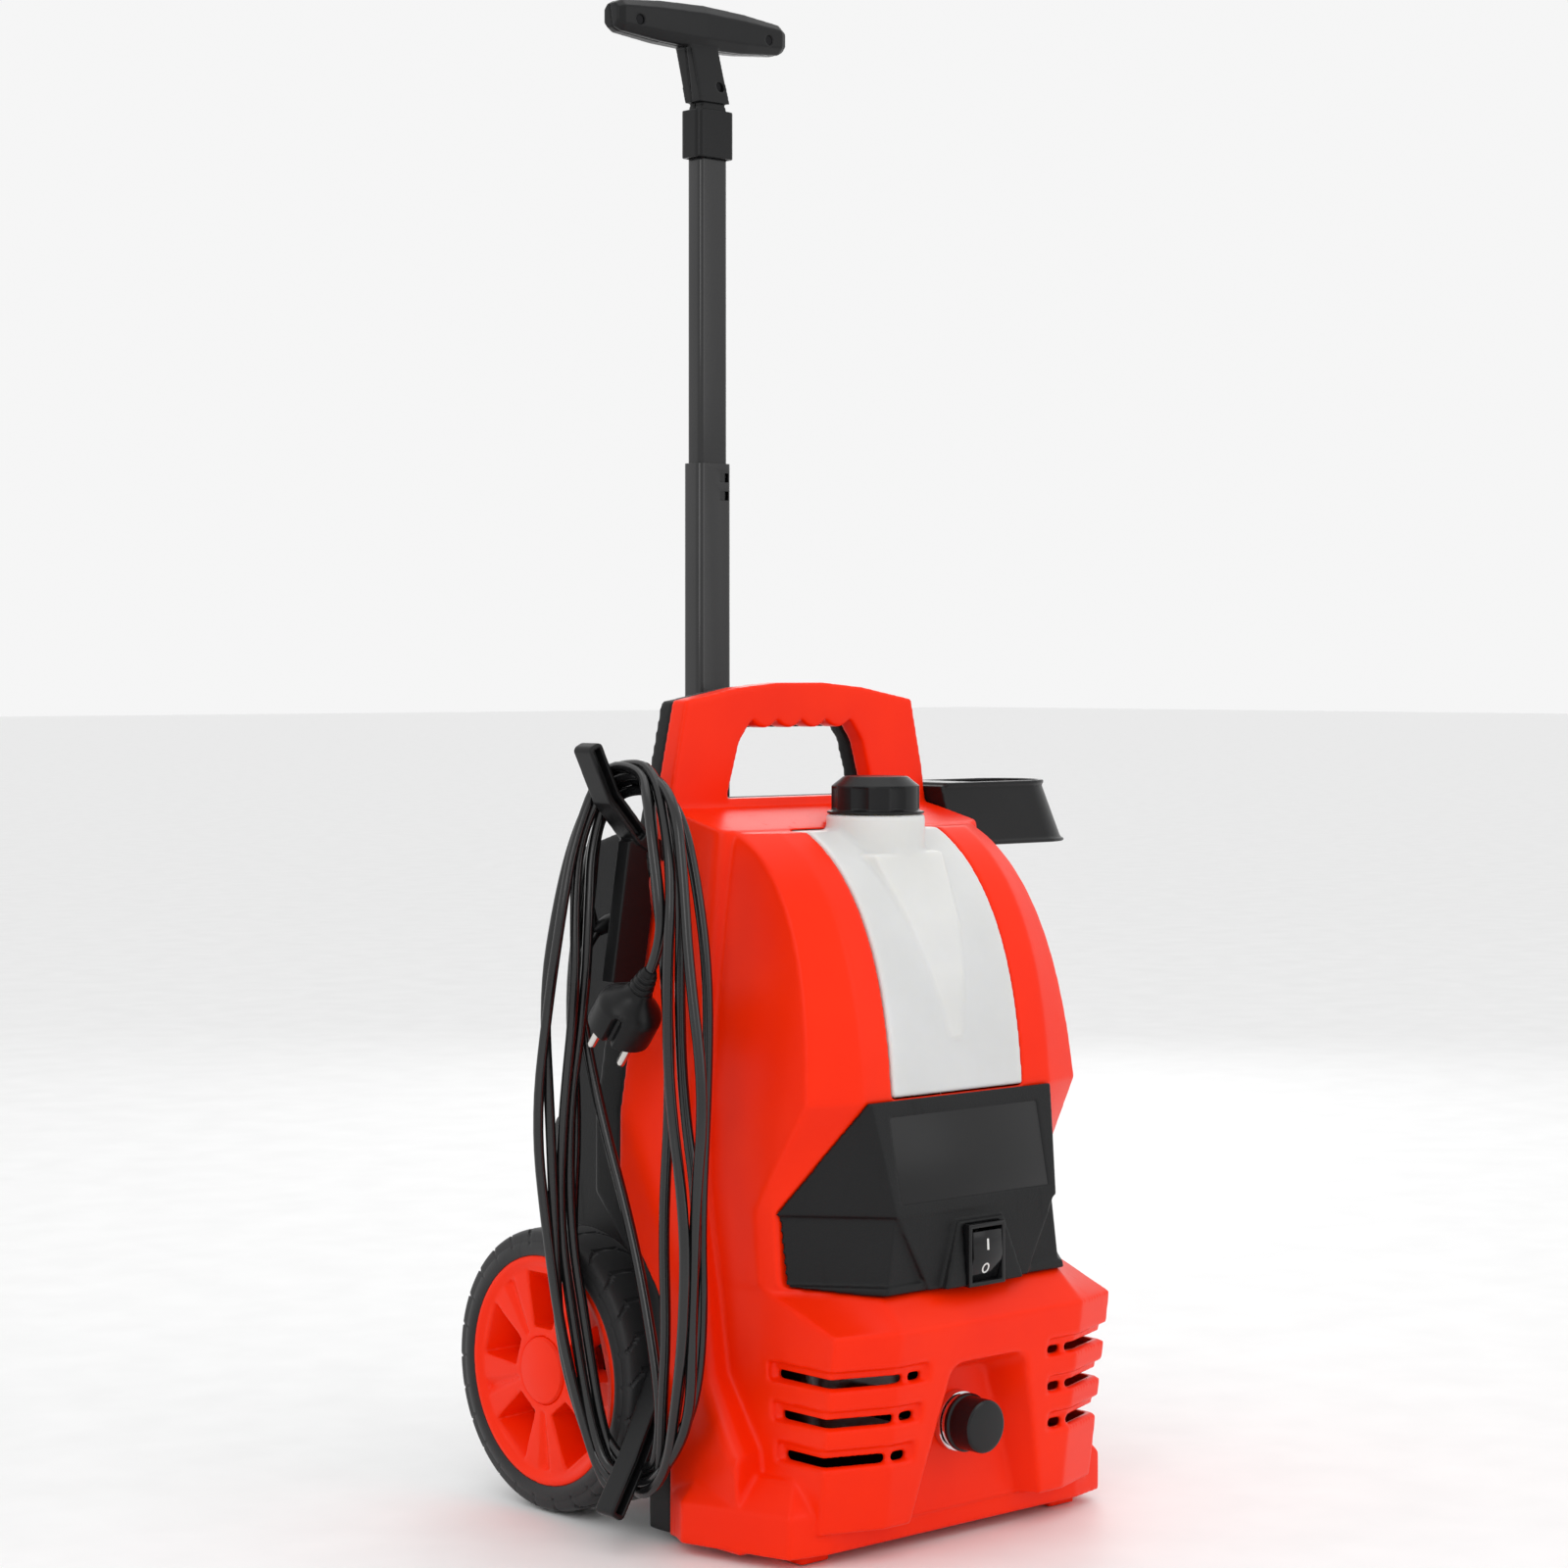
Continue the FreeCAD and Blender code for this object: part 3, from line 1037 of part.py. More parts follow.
def make_gun_holder():
    body = new_body("gun_holder")
    top = d.holder_base + d.holder_high
    root = 96
    upper = capsule(body, top - 2, root, d.holder_x, d.holder_y, d.holder_radius)
    lower = capsule(body, d.holder_base + 2, root, d.holder_x + d.holder_shift, d.holder_y,
                    d.holder_radius + d.holder_flare)
    loft(body, [upper, lower], ruled=True)
    pad(body, capsule(body, top - 2.2, root + 6, d.holder_x, d.holder_y, d.holder_radius + 1.6), 2.2)
    pad(body, capsule(body, d.holder_base, root + 6, d.holder_x + d.holder_shift, d.holder_y,
                      d.holder_radius + d.holder_flare + 1.8), 2.2)
    wall = d.holder_wall
    mouth = capsule(body, top + 1, root + 30, d.holder_x, d.holder_y, d.holder_radius - wall)
    floor = capsule(body, d.holder_base - 1, root + 30, d.holder_x + d.holder_shift, d.holder_y,
                    d.holder_radius + d.holder_flare - wall)
    loft(body, [mouth, floor], add=False)
    side = [(root - 20, d.casing_waist_top), (d.casing_waist_half, d.casing_waist_top),
            (d.shoulder_half, d.shoulder_top), (root - 20, d.shoulder_top)]
    cut(body, polygon(body, "front", 60, side), 120)
    node(seat(body), "gun_holder")


# ---------------------------------------------------------------- fittings inside and behind
DETERGENT_HOSE = [(-30, -95, 246), (-30, -95, 200), (-52, -80, 150), (-60, -62, 110), (-57, -40, 82),
                  (-38, -30, 70)]
INLET_HOSE = [(44, 99, 62), (44, 72, 62), (40, 48, 64), (26, 34, 70), (8, 20.5, 74)]


def make_fittings():
    r = d.inlet_radius
    turned("water_inlet", "back", (d.inlet_x, 99, d.inlet_z),
           [(6, 0), (r, 0), (r, 5.3), (r + 2, 5.3), (r + 2, 12), (r - 1, 13), (r - 1, 26), (6, 26)])
    box = new_body("pressure_switch_box")
    pad(box, polygon(box, "top", 0, rectangle(-19, -15, 19, 15)), 44)
    round_edges(box, 3, upright)
    node(seat(box, -62, 18, 100), "pressure_switch_box")
    turned("motor_capacitor", "up", (62, 18, 180), [(0, 0), (16, 0), (16, 58), (14, 60), (0, 60)])
    hose("detergent_hose", DETERGENT_HOSE, 4.0)
    hose("inlet_hose", INLET_HOSE, 6.0)
    screws = new_body("casing_screws")
    for x, z, face in SCREW_SPOTS:
        pad(screws, circles(screws, "front", face - 1, (x, z, 3.3), (0 - x, z, 3.3)), 7)
    screws.AllowCompound = True
    node(seat(screws), "casing_screws")


def hose(label, points, radius):
    """A hose of straight runs joined by tangent arcs."""
    item = doc.addObject("Part::Feature", label)
    item.Shape = round_tube([Vector(*point) for point in points], radius)
    return node(seat(item), label)


# ---------------------------------------------------------------- mains lead
def rounded_path(points):
    """Straight runs joined by tangent arcs, each as large as its two runs allow."""
    edges = []
    start = points[0]
    radii = []
    for i in range(1, len(points) - 1):
        before = points[i] - points[i - 1]
        after = points[i + 1] - points[i]
        half_turn = before.getAngle(after) / 2
        reach = 0.45 * min(before.Length, after.Length)
        radii.append(reach / math.tan(half_turn))
        into = points[i] - before.normalize() * reach
        out = points[i] + after.normalize() * reach
        bend = (before.normalize() * -1 + after.normalize()).normalize()
        middle = points[i] + bend * (radii[-1] / math.cos(half_turn) - radii[-1])
        edges.append(Part.LineSegment(start, into).toShape())
        edges.append(Part.Arc(into, middle, out).toShape())
        start = out
    edges.append(Part.LineSegment(start, points[-1]).toShape())
    return Part.Wire(edges), radii


def round_tube(points, radius):
    path, radii = rounded_path(points)
    along = (points[1] - points[0]).normalize()
    ring = Part.Wire([Part.Circle(points[0], along, radius).toShape()])
    solid = path.makePipeShell([ring], True, False)
    expected = math.pi * radius ** 2 * path.Length
    print(f"tube length {path.Length:.1f}, radii {[round(r, 1) for r in radii]}, "
          f"volume ratio {solid.Volume / expected:.4f}")
    return solid


LEAD_ROUTE = [(-113, 14, 338), (-129, 14, 338), (-139, 17, 326), (-143, 21, 308)]
TAIL_ROUTE = [(-137, -28, 424), (-147, -45, 408), (-154, -58, 384), (-157, -68, 354), (-156, -67, 331),
              (-155, -57.35, 316.45)]
PLUG_SEAT = (-155, -30, 282)
HANK_OUTSIDE = [(16, 404), (2, 430), (-30, 437), (-62, 426), (-92, 386), (-106, 300), (-114, 200),
                (-113, 95), (-92, 50), (-55, 27), (-22, 25), (8, 62), (30, 130), (43, 215), (40, 300), (30, 366)]
HANK_INSIDE = [(2, 375), (-22, 392), (-52, 385), (-66, 360), (-78, 290), (-86, 200), (-82, 110), (-60, 68),
               (-34, 62), (-12, 92), (2, 145), (14, 215), (14, 290), (8, 350)]


def make_cord():
    hank = new_body("cord_hank")
    sketch = polygon(hank, "side", 0 - d.hank_thick / 2, HANK_OUTSIDE, HANK_INSIDE)
    pad(hank, sketch, d.hank_thick)
    lean = Rotation(Vector(0, 1, 0), num(d.hank_lean))
    node(seat(hank, -160.7, 0, 0, rotation=lean), "cord_hank")
    for label, route in (("cord_lead", LEAD_ROUTE), ("cord_tail", TAIL_ROUTE)):
        hose(label, route, num(d.cord_radius))
    turned("cord_gland", "left", (-99, d.gland_y, d.gland_z),
           [(d.cord_radius, 0), (d.gland_radius, 0), (d.gland_radius, 9), (5, 14), (4, 20),
            (d.cord_radius, 20)])
    make_plug()


def make_plug():
    """Round two-pin plug: its own +Z runs from the pins to the cord."""
    along = Vector(0, -0.622, 0.783)
    wide = Vector(0.54, -0.66, -0.52)
    across = along.cross(wide).normalize()
    wide = across.cross(along).normalize()
    turn_to = Rotation(wide, across, along, "ZXY")
    body = new_body("plug_body")
    sections = []
    for z, radius in ((0, 18), (1, 18.5), (16, 18.5), (21, 15.5), (27, 8.5), (44, 4.2)):
        loop = []
        for i in range(24):
            angle = math.radians(15 * i + 7.5)
            loop.append((radius * math.cos(angle), radius * math.sin(angle)))
        sections.append(polygon(body, "top", z, loop))
    loft(body, sections)
    node(seat(body, *PLUG_SEAT, rotation=turn_to), "plug_body")
    pins = new_body("plug_pins")
    pad(pins, circles(pins, "top", 0 - d.pin_long, (0 - d.pin_pitch / 2, 0, d.pin_radius),
                      (d.pin_pitch / 2, 0, d.pin_radius)), d.pin_long)
    pins.AllowCompound = True
    node(seat(pins, *PLUG_SEAT, rotation=turn_to), "plug_pins")


# ---------------------------------------------------------------- build, check, write
def check_document():
    doc.recompute()
    for item in doc.Objects:
        if "Invalid" in item.State or "Error" in item.State:
            raise RuntimeError(f"{item.Name} ({item.Label}) failed: {item.State}")
    for item in NODES:
        if item.Shape.isNull() or not item.Shape.isValid():
            raise RuntimeError(f"{item.Label} has no sound shape")
        if not item.Shape.Solids:
            raise RuntimeError(f"{item.Label} has no solid")


def write_parts():
    for item in NODES:
        item.Shape.exportStep(f"parts/{item.Label}.step")
        box = item.Shape.BoundBox
        print(f"{item.Label:22s} solids {len(item.Shape.Solids)} volume {item.Shape.Volume:10.0f} "
              f"x {box.XMin:7.1f} {box.XMax:7.1f} y {box.YMin:7.1f} {box.YMax:7.1f} "
              f"z {box.ZMin:6.1f} {box.ZMax:6.1f}")


make_front_shell()
make_rear_shell()
make_control_panel()
make_panel_plate()
make_switch()
make_tank()
make_cap()
make_outlet()
make_pump()
make_motor()
make_wheel("left", "left", -1)
make_wheel("right", "right", 1)
make_axle()
make_handle()
make_hooks()
make_gun_holder()
make_fittings()
make_cord()
check_document()
write_parts()
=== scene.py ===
import json
import math
import random

import bmesh
import bpy
from mathutils import Euler, Matrix, Vector


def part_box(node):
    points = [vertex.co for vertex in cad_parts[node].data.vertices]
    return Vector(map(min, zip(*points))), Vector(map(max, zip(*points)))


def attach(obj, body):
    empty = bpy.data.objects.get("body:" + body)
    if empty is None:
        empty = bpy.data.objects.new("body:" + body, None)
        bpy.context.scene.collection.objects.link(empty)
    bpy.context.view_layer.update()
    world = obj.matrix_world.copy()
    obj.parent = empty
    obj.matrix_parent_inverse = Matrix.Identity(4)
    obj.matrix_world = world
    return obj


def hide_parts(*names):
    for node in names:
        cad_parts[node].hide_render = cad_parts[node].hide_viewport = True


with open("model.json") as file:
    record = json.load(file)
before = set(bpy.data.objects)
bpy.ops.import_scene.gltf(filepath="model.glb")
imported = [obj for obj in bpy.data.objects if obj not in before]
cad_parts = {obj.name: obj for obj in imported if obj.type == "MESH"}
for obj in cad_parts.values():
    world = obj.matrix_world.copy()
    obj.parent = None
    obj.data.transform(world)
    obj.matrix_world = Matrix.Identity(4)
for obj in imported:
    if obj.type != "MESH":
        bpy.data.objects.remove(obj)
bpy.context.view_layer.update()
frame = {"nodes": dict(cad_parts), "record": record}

MM = 0.001
NODES = frame["nodes"]
RECORD = frame["record"]
SLOT_OF = {part["node"]: part["material_slot"] for part in RECORD["subparts"]}
BODY_OF = {name: body for body, names in RECORD["behaviour"]["bodies"].items() for name in names}

# The machine's own drawing frame: x from its middle plane, y from the parting of its casing, in mm.
axle_low, axle_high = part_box("wheel_axle")
AXLE = (axle_low + axle_high) / 2
AXLE_Y = 62.0
AXLE_Z = 80.0
SWITCH_AXIS = (0, -150, 159)
NOZZLE_SEAT = (-4, -40, 65.5)
COVER_SEAT = (-4, -145, 65.5)

# Camera, floor and lamps. Places on the machine are in mm, lamps and floor in metres.
CAMERA_PLACE = (-1319.9, -1468.0, 478.0)
CAMERA_TURN = 41.8
SENSOR_WIDTH = 36.0
LENS = 77.94
LENS_SHIFT = -0.0725
FLOOR_REACH = 30
FLOOR_DROP = 0.0005
SKY_STRENGTH = 0.92
LAMPS = [  # name, place, aim, size, watts
    ("key_left", (-1.7, -1.1, 1.5), (0, 0, 0.35), (0.9, 1.5), 8),
    ("front_fill", (0.9, -2.0, 1.1), (0, 0, 0.3), (1.0, 1.4), 4),
    ("top_soft", (0.2, 0.3, 2.4), (0, 0, 0.4), (1.6, 1.6), 6),
    ("rear_rim", (1.5, 1.4, 1.2), (0, 0, 0.4), (0.8, 1.4), 5),
]
MERGE_GAP = 2e-6
FLAT_ANGLE = math.radians(0.4)


def spot(x, y, z):
    """A point given in millimetres about the machine's middle plane, as a place in the frame."""
    return Vector((AXLE.x + x * MM, AXLE.y + (y - AXLE_Y) * MM, z * MM))


# ---------------------------------------------------------------- camera, stage and light
def set_camera():
    data = bpy.data.cameras.new("camera")
    camera = bpy.data.objects.new("camera", data)
    bpy.context.scene.collection.objects.link(camera)
    camera.location = spot(*CAMERA_PLACE)
    camera.rotation_euler = Euler((math.pi / 2, 0, -math.radians(CAMERA_TURN)))
    data.sensor_width = SENSOR_WIDTH
    data.lens = LENS
    data.shift_y = LENS_SHIFT
    data.clip_end = 50
    bpy.context.scene.camera = camera


def set_stage():
    corners = [(x * FLOOR_REACH, y * FLOOR_REACH, -FLOOR_DROP)
               for x, y in ((-1, -1), (1, -1), (1, 1), (-1, 1))]
    floor = new_mesh_object("floor", corners, [(0, 1, 2, 3)])
    floor.data.materials.append(PALE_FLOOR)


def add_light(name, place, aim, size, power):
    data = bpy.data.lights.new(name, "AREA")
    data.shape = "RECTANGLE"
    data.size, data.size_y = size
    data.energy = power
    lamp = bpy.data.objects.new(name, data)
    lamp.location = place
    lamp.rotation_euler = (Vector(aim) - Vector(place)).to_track_quat("-Z", "Y").to_euler()
    bpy.context.scene.collection.objects.link(lamp)


def set_light():
    world = bpy.data.worlds.new("studio")
    bpy.context.scene.world = world
    world.use_nodes = True
    sky = world.node_tree.nodes["Background"]
    sky.inputs["Color"].default_value = (1, 1, 1, 1)
    sky.inputs["Strength"].default_value = SKY_STRENGTH
    for lamp in LAMPS:
        add_light(*lamp)
    bpy.context.scene.view_settings.view_transform = "Standard"


# ---------------------------------------------------------------- mesh helpers
def new_mesh_object(name, verts, faces):
    mesh = bpy.data.meshes.new(name)
    mesh.from_pydata([tuple(v) for v in verts], [], faces)
    mesh.update()
    item = bpy.data.objects.new(name, mesh)
    bpy.context.scene.collection.objects.link(item)
    return item


def settled(item):
    """The object with its modifiers turned into plain mesh."""
    bpy.context.view_layer.update()
    graph = bpy.context.evaluated_depsgraph_get()
    mesh = bpy.data.meshes.new_from_object(item.evaluated_get(graph))
    item.modifiers.clear()
    item.data = mesh
    return item


def soften(item, angle=35):
    item.data.shade_smooth()
    item.data.set_sharp_from_angle(angle=math.radians(angle))
    return item


def bevel(item, width, angle):
    edge = item.modifiers.new("edge", "BEVEL")
    edge.limit_method = "ANGLE"
    edge.angle_limit = math.radians(angle)
    edge.width = width * MM
    edge.segments = 2
    edge.use_clamp_overlap = True
    edge.harden_normals = False
    return settled(item)


def outward(item):
    shape = bmesh.new()
    shape.from_mesh(item.data)
    bmesh.ops.remove_doubles(shape, verts=shape.verts, dist=1e-6)
    bmesh.ops.recalc_face_normals(shape, faces=shape.faces)
    shape.to_mesh(item.data)
    shape.free()
    return item


def stand_for(item, body, slot, material, *nodes):
    """Finishes a piece: its material, the body it rides on and the parts it stands for."""
    item.data.materials.clear()
    item.data.materials.append(material)
    if nodes:
        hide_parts(*nodes)
    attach(item, body)
    return item


def merged_copy(node):
    """A copy of a part with its faces joined where they meet, and no material yet."""
    mesh = NODES[node].data.copy()
    shape = bmesh.new()
    shape.from_mesh(mesh)
    bmesh.ops.remove_doubles(shape, verts=shape.verts, dist=MERGE_GAP)
    shape.to_mesh(mesh)
    shape.free()
    mesh.materials.clear()
    item = bpy.data.objects.new(f"{node}_shape", mesh)
    bpy.context.scene.collection.objects.link(item)
    return item


def moulded(node, material, grain, passes, triangles):
    """A copy of a moulded part with every edge rounded, as a mould leaves it."""
    item = merged_copy(node)
    skin = item.modifiers.new("skin", "REMESH")
    skin.mode = "VOXEL"
    skin.voxel_size = grain * MM
    relax = item.modifiers.new("relax", "SMOOTH")
    relax.factor = 0.5
    relax.iterations = passes
    settled(item)
    count = sum(len(face.vertices) - 2 for face in item.data.polygons)
    thin = item.modifiers.new("thin", "DECIMATE")
    thin.ratio = min(1.0, triangles / count)
    settled(item)
    item.data.shade_smooth()
    return stand_for(item, BODY_OF[node], SLOT_OF[node], material, node)


def eased(node, material, width=0.5, angle=30):
    """A copy of a part with its flats made whole and its sharp edges broken."""
    item = merged_copy(node)
    shape = bmesh.new()
    shape.from_mesh(item.data)
    bmesh.ops.dissolve_limit(shape, angle_limit=FLAT_ANGLE, verts=shape.verts, edges=shape.edges)
    shape.to_mesh(item.data)
    shape.free()
    soften(bevel(item, width, angle))
    return stand_for(item, BODY_OF[node], SLOT_OF[node], material, node)


def finish_node(node, material):
    """Gives a part that keeps its own shape its finish, through its object's slots."""
    for slot in NODES[node].material_slots:
        slot.material = material


def wrapped(steps, count):
    """Faces of a ring of steps, each with a closed outline of count points."""
    faces = []
    for i in range(steps):
        j = (i + 1) % steps
        for k in range(count):
            m = (k + 1) % count
            faces.append((i * count + k, j * count + k, j * count + m, i * count + m))
    return faces


def lathe(name, profile, steps, place):
    """Ring of revolution from (radius, height) points, about a line to the front."""
    verts = []
    for i in range(steps):
        angle = 2 * math.pi * i / steps
        for radius, height in profile:
            reach = radius * MM
            verts.append((reach * math.cos(angle), reach * math.sin(angle), height * MM))
    item = new_mesh_object(name, verts, wrapped(steps, len(profile)))
    item.data.transform(Matrix.Translation(place) @ Matrix.Rotation(math.pi / 2, 4, "X"))
    return outward(item)


def ring_stack(name, rings):
    """A skin over a stack of rings with equal point counts, capped at both ends."""
    count = len(rings[0])
    verts = [point for ring in rings for point in ring]
    faces = []
    for i in range(len(rings) - 1):
        for k in range(count):
            m = (k + 1) % count
            faces.append((i * count + k, i * count + m,
                          (i + 1) * count + m, (i + 1) * count + k))
    faces.append(tuple(range(count - 1, -1, -1)))
    faces.append(tuple(range((len(rings) - 1) * count, len(rings) * count)))
    return outward(new_mesh_object(name, verts, faces))


# ---------------------------------------------------------------- shader groups
def new_group(name, inputs, outputs):
    group = bpy.data.node_groups.new(name, "ShaderNodeTree")
    for label, kind, value in inputs:
        socket = group.interface.new_socket(label, in_out="INPUT", socket_type=kind)
        socket.default_value = value
    for label, kind in outputs:
        group.interface.new_socket(label, in_out="OUTPUT", socket_type=kind)
    source = group.nodes.new("NodeGroupInput")
    sink = group.nodes.new("NodeGroupOutput")
    return group, source, sink


def ramp(tree, value, low, high):
    item = tree.nodes.new("ShaderNodeMapRange")
    item.clamp = True
    item.inputs["From Min"].default_value = low
    item.inputs["From Max"].default_value = high
    tree.links.new(value, item.inputs["Value"])
    return item.outputs["Result"]


def grain_group():
    """Moulded grain: fine pebbling with slow waviness under it."""
    tree, source, sink = new_group(
        "moulded_grain",
        [("Grain Size", "NodeSocketFloat", 900.0), ("Grain Depth", "NodeSocketFloat", 0.3),
         ("Wave Depth", "NodeSocketFloat", 0.1)],
        [("Normal", "NodeSocketVector")])
    place = tree.nodes.new("ShaderNodeTexCoord")
    fine = tree.nodes.new("ShaderNodeTexNoise")
    fine.inputs["Detail"].default_value = 2.0
    tree.links.new(place.outputs["Object"], fine.inputs["Vector"])
    tree.links.new(source.outputs["Grain Size"], fine.inputs["Scale"])
    slow = tree.nodes.new("ShaderNodeTexNoise")
    slow.inputs["Scale"].default_value = 26.0
    slow.inputs["Detail"].default_value = 1.0
    tree.links.new(place.outputs["Object"], slow.inputs["Vector"])
    wave = tree.nodes.new("ShaderNodeBump")
    wave.inputs["Distance"].default_value = 0.004
    tree.links.new(source.outputs["Wave Depth"], wave.inputs["Strength"])
    tree.links.new(slow.outputs["Fac"], wave.inputs["Height"])
    pebble = tree.nodes.new("ShaderNodeBump")
    pebble.inputs["Distance"].default_value = 0.0004
    tree.links.new(source.outputs["Grain Depth"], pebble.inputs["Strength"])
    tree.links.new(fine.outputs["Fac"], pebble.inputs["Height"])
    tree.links.new(wave.outputs["Normal"], pebble.inputs["Normal"])
    tree.links.new(pebble.outputs["Normal"], sink.inputs["Normal"])
    return tree


def handling_group():
    """Slow blotches where a surface is touched or dusty, and fine hairline scuffs."""
    tree, source, sink = new_group(
        "handling_marks",
        [("Blotch Size", "NodeSocketFloat", 18.0), ("Scuff Size", "NodeSocketFloat", 220.0)],
        [("Blotch", "NodeSocketFloat"), ("Scuff", "NodeSocketFloat")])
    place = tree.nodes.new("ShaderNodeTexCoord")
    blotch = tree.nodes.new("ShaderNodeTexNoise")
    blotch.inputs["Detail"].default_value = 4.0
    tree.links.new(place.outputs["Object"], blotch.inputs["Vector"])
    tree.links.new(source.outputs["Blotch Size"], blotch.inputs["Scale"])
    stretch = tree.nodes.new("ShaderNodeMapping")
    stretch.inputs["Scale"].default_value = (1.0, 1.0, 0.12)
    tree.links.new(place.outputs["Object"], stretch.inputs["Vector"])
    scuff = tree.nodes.new("ShaderNodeTexNoise")
    scuff.inputs["Detail"].default_value = 3.0
    tree.links.new(stretch.outputs["Vector"], scuff.inputs["Vector"])
    tree.links.new(source.outputs["Scuff Size"], scuff.inputs["Scale"])
    tree.links.new(ramp(tree, blotch.outputs["Fac"], 0.3, 0.75), sink.inputs["Blotch"])
    tree.links.new(ramp(tree, scuff.outputs["Fac"], 0.62, 0.8), sink.inputs["Scuff"])
    return tree


GRAIN = grain_group()
HANDLING = handling_group()


def place_group(tree, group, **values):
    item = tree.nodes.new("ShaderNodeGroup")
    item.node_tree = group
    for label, value in values.items():
        item.inputs[label.replace("_", " ")].default_value = value
    return item


def tinted(tree, factor, dark, light):
    """A colour between two, by a mask."""
    mix = tree.nodes.new("ShaderNodeMix")
    mix.data_type = "RGBA"
    mix.inputs["A"].default_value = (*dark, 1)
    mix.inputs["B"].default_value = (*light, 1)
    tree.links.new(factor, mix.inputs["Factor"])
    return mix.outputs["Result"]


def between(tree, factor, low, high):
    span = tree.nodes.new("ShaderNodeMapRange")
    span.inputs["To Min"].default_value = low
    span.inputs["To Max"].default_value = high
    tree.links.new(factor, span.inputs["Value"])
    return span.outputs["Result"]


def plastic(name, dark, light, rough, grain, wave, size=900.0, metallic=0.0, coat=0.0,
            sheen=0.0, shine=0.3):
    """A moulded or finished surface: two close tones, grain and handling marks."""
    material = bpy.data.materials.new(name)
    material.use_nodes = True
    tree = material.node_tree
    shader = tree.nodes["Principled BSDF"]
    marks = place_group(tree, HANDLING)
    skin = place_group(tree, GRAIN, Grain_Size=size, Grain_Depth=grain, Wave_Depth=wave)
    colour = tinted(tree, marks.outputs["Blotch"], dark, light)
    tree.links.new(colour, shader.inputs["Base Color"])
    roughness = between(tree, marks.outputs["Scuff"], *rough)
    tree.links.new(roughness, shader.inputs["Roughness"])
    tree.links.new(skin.outputs["Normal"], shader.inputs["Normal"])
    shader.inputs["Metallic"].default_value = metallic
    shader.inputs["Specular IOR Level"].default_value = 0.5 if metallic else shine
    shader.inputs["Coat Weight"].default_value = coat
    shader.inputs["Coat Roughness"].default_value = 0.25
    shader.inputs["Sheen Weight"].default_value = sheen
    return material


def milky_plastic():
    material = plastic("milky_tank", (0.66, 0.66, 0.64), (0.73, 0.73, 0.715), (0.30, 0.40),
                       0.05, 0.12, 400.0)
    shader = material.node_tree.nodes["Principled BSDF"]
    shader.inputs["Subsurface Weight"].default_value = 0.55
    shader.inputs["Subsurface Radius"].default_value = (0.012, 0.011, 0.009)
    shader.inputs["Subsurface Scale"].default_value = 0.6
    return material


def grey(level):
    return (level, level, level)


# Each finish: dark tone, light tone, roughness from clean to scuffed, grain depth, wave depth.
MATERIALS = {
    "red_abs": plastic("red_abs", (0.90, 0.020, 0.0), (0.96, 0.026, 0.0), (0.34, 0.46),
                       0.10, 0.05, 1500.0, shine=0.16),
    "black_casing": plastic("black_grained", (0.0058, 0.006, 0.0064), (0.0085, 0.0088, 0.0094),
                            (0.46, 0.58), 0.55, 0.04, 1300.0, shine=0.22),
    "black_trim": plastic("black_satin", (0.006, 0.0062, 0.0066), (0.009, 0.0092, 0.0098),
                          (0.32, 0.44), 0.22, 0.04, 1500.0, shine=0.22),
    "panel_blank": plastic("label_blank", (0.006, 0.006, 0.0065), (0.008, 0.008, 0.0085),
                           (0.30, 0.36), 0.03, 0.03),
    "switch_black": plastic("switch_gloss", (0.006, 0.006, 0.0065), (0.008, 0.008, 0.009),
                            (0.16, 0.24), 0.03, 0.02),
    "tank_white": milky_plastic(),
    "chrome_brass": plastic("chrome_plate", (0.66, 0.66, 0.67), (0.78, 0.78, 0.79),
                            (0.06, 0.16), 0.02, 0.03, metallic=1.0),
    "tyre_rubber": plastic("tyre_rubber", (0.014, 0.014, 0.015), (0.022, 0.022, 0.023),
                           (0.55, 0.68), 0.35, 0.03, 1100.0, sheen=0.1),
    "black_tube": plastic("tube_lacquer", (0.006, 0.006, 0.0065), (0.009, 0.009, 0.0095),
                          (0.16, 0.26), 0.06, 0.05, coat=0.5),
    "steel": plastic("zinc_steel", (0.50, 0.50, 0.52), (0.62, 0.62, 0.63), (0.22, 0.38),
                     0.05, 0.02, metallic=1.0),
    "pump_alloy": plastic("cast_alloy", (0.40, 0.41, 0.42), (0.52, 0.53, 0.54), (0.40, 0.55),
                          0.5, 0.05, 700.0, metallic=1.0),
    "motor_iron": plastic("lacquered_iron", (0.14, 0.15, 0.16), (0.20, 0.21, 0.22),
                          (0.40, 0.50), 0.2, 0.03),
    "cord_pvc": plastic("cord_sheath", (0.005, 0.005, 0.0054), (0.007, 0.007, 0.0075),
                        (0.20, 0.30), 0.08, 0.03, 1200.0, shine=0.55),
    "gasket_rubber": plastic("gasket_rubber", grey(0.012), grey(0.018), (0.6, 0.7), 0.2, 0.02),
}
BLACK_SCREW = plastic("blackened_screw", (0.012, 0.012, 0.013), (0.02, 0.02, 0.021),
                      (0.3, 0.45), 0.05, 0.02, metallic=1.0)
WHITE_MARK = plastic("white_marking", (0.72, 0.72, 0.70), (0.82, 0.82, 0.80), (0.4, 0.5),
                     0.02, 0.0)
NICKEL = plastic("nickel_pin", (0.58, 0.56, 0.53), (0.70, 0.68, 0.65), (0.14, 0.26),
                 0.03, 0.02, metallic=1.0)
PALE_FLOOR = plastic("pale_floor", grey(0.86), grey(0.90), (0.55, 0.65), 0.0, 0.0)

set_camera()

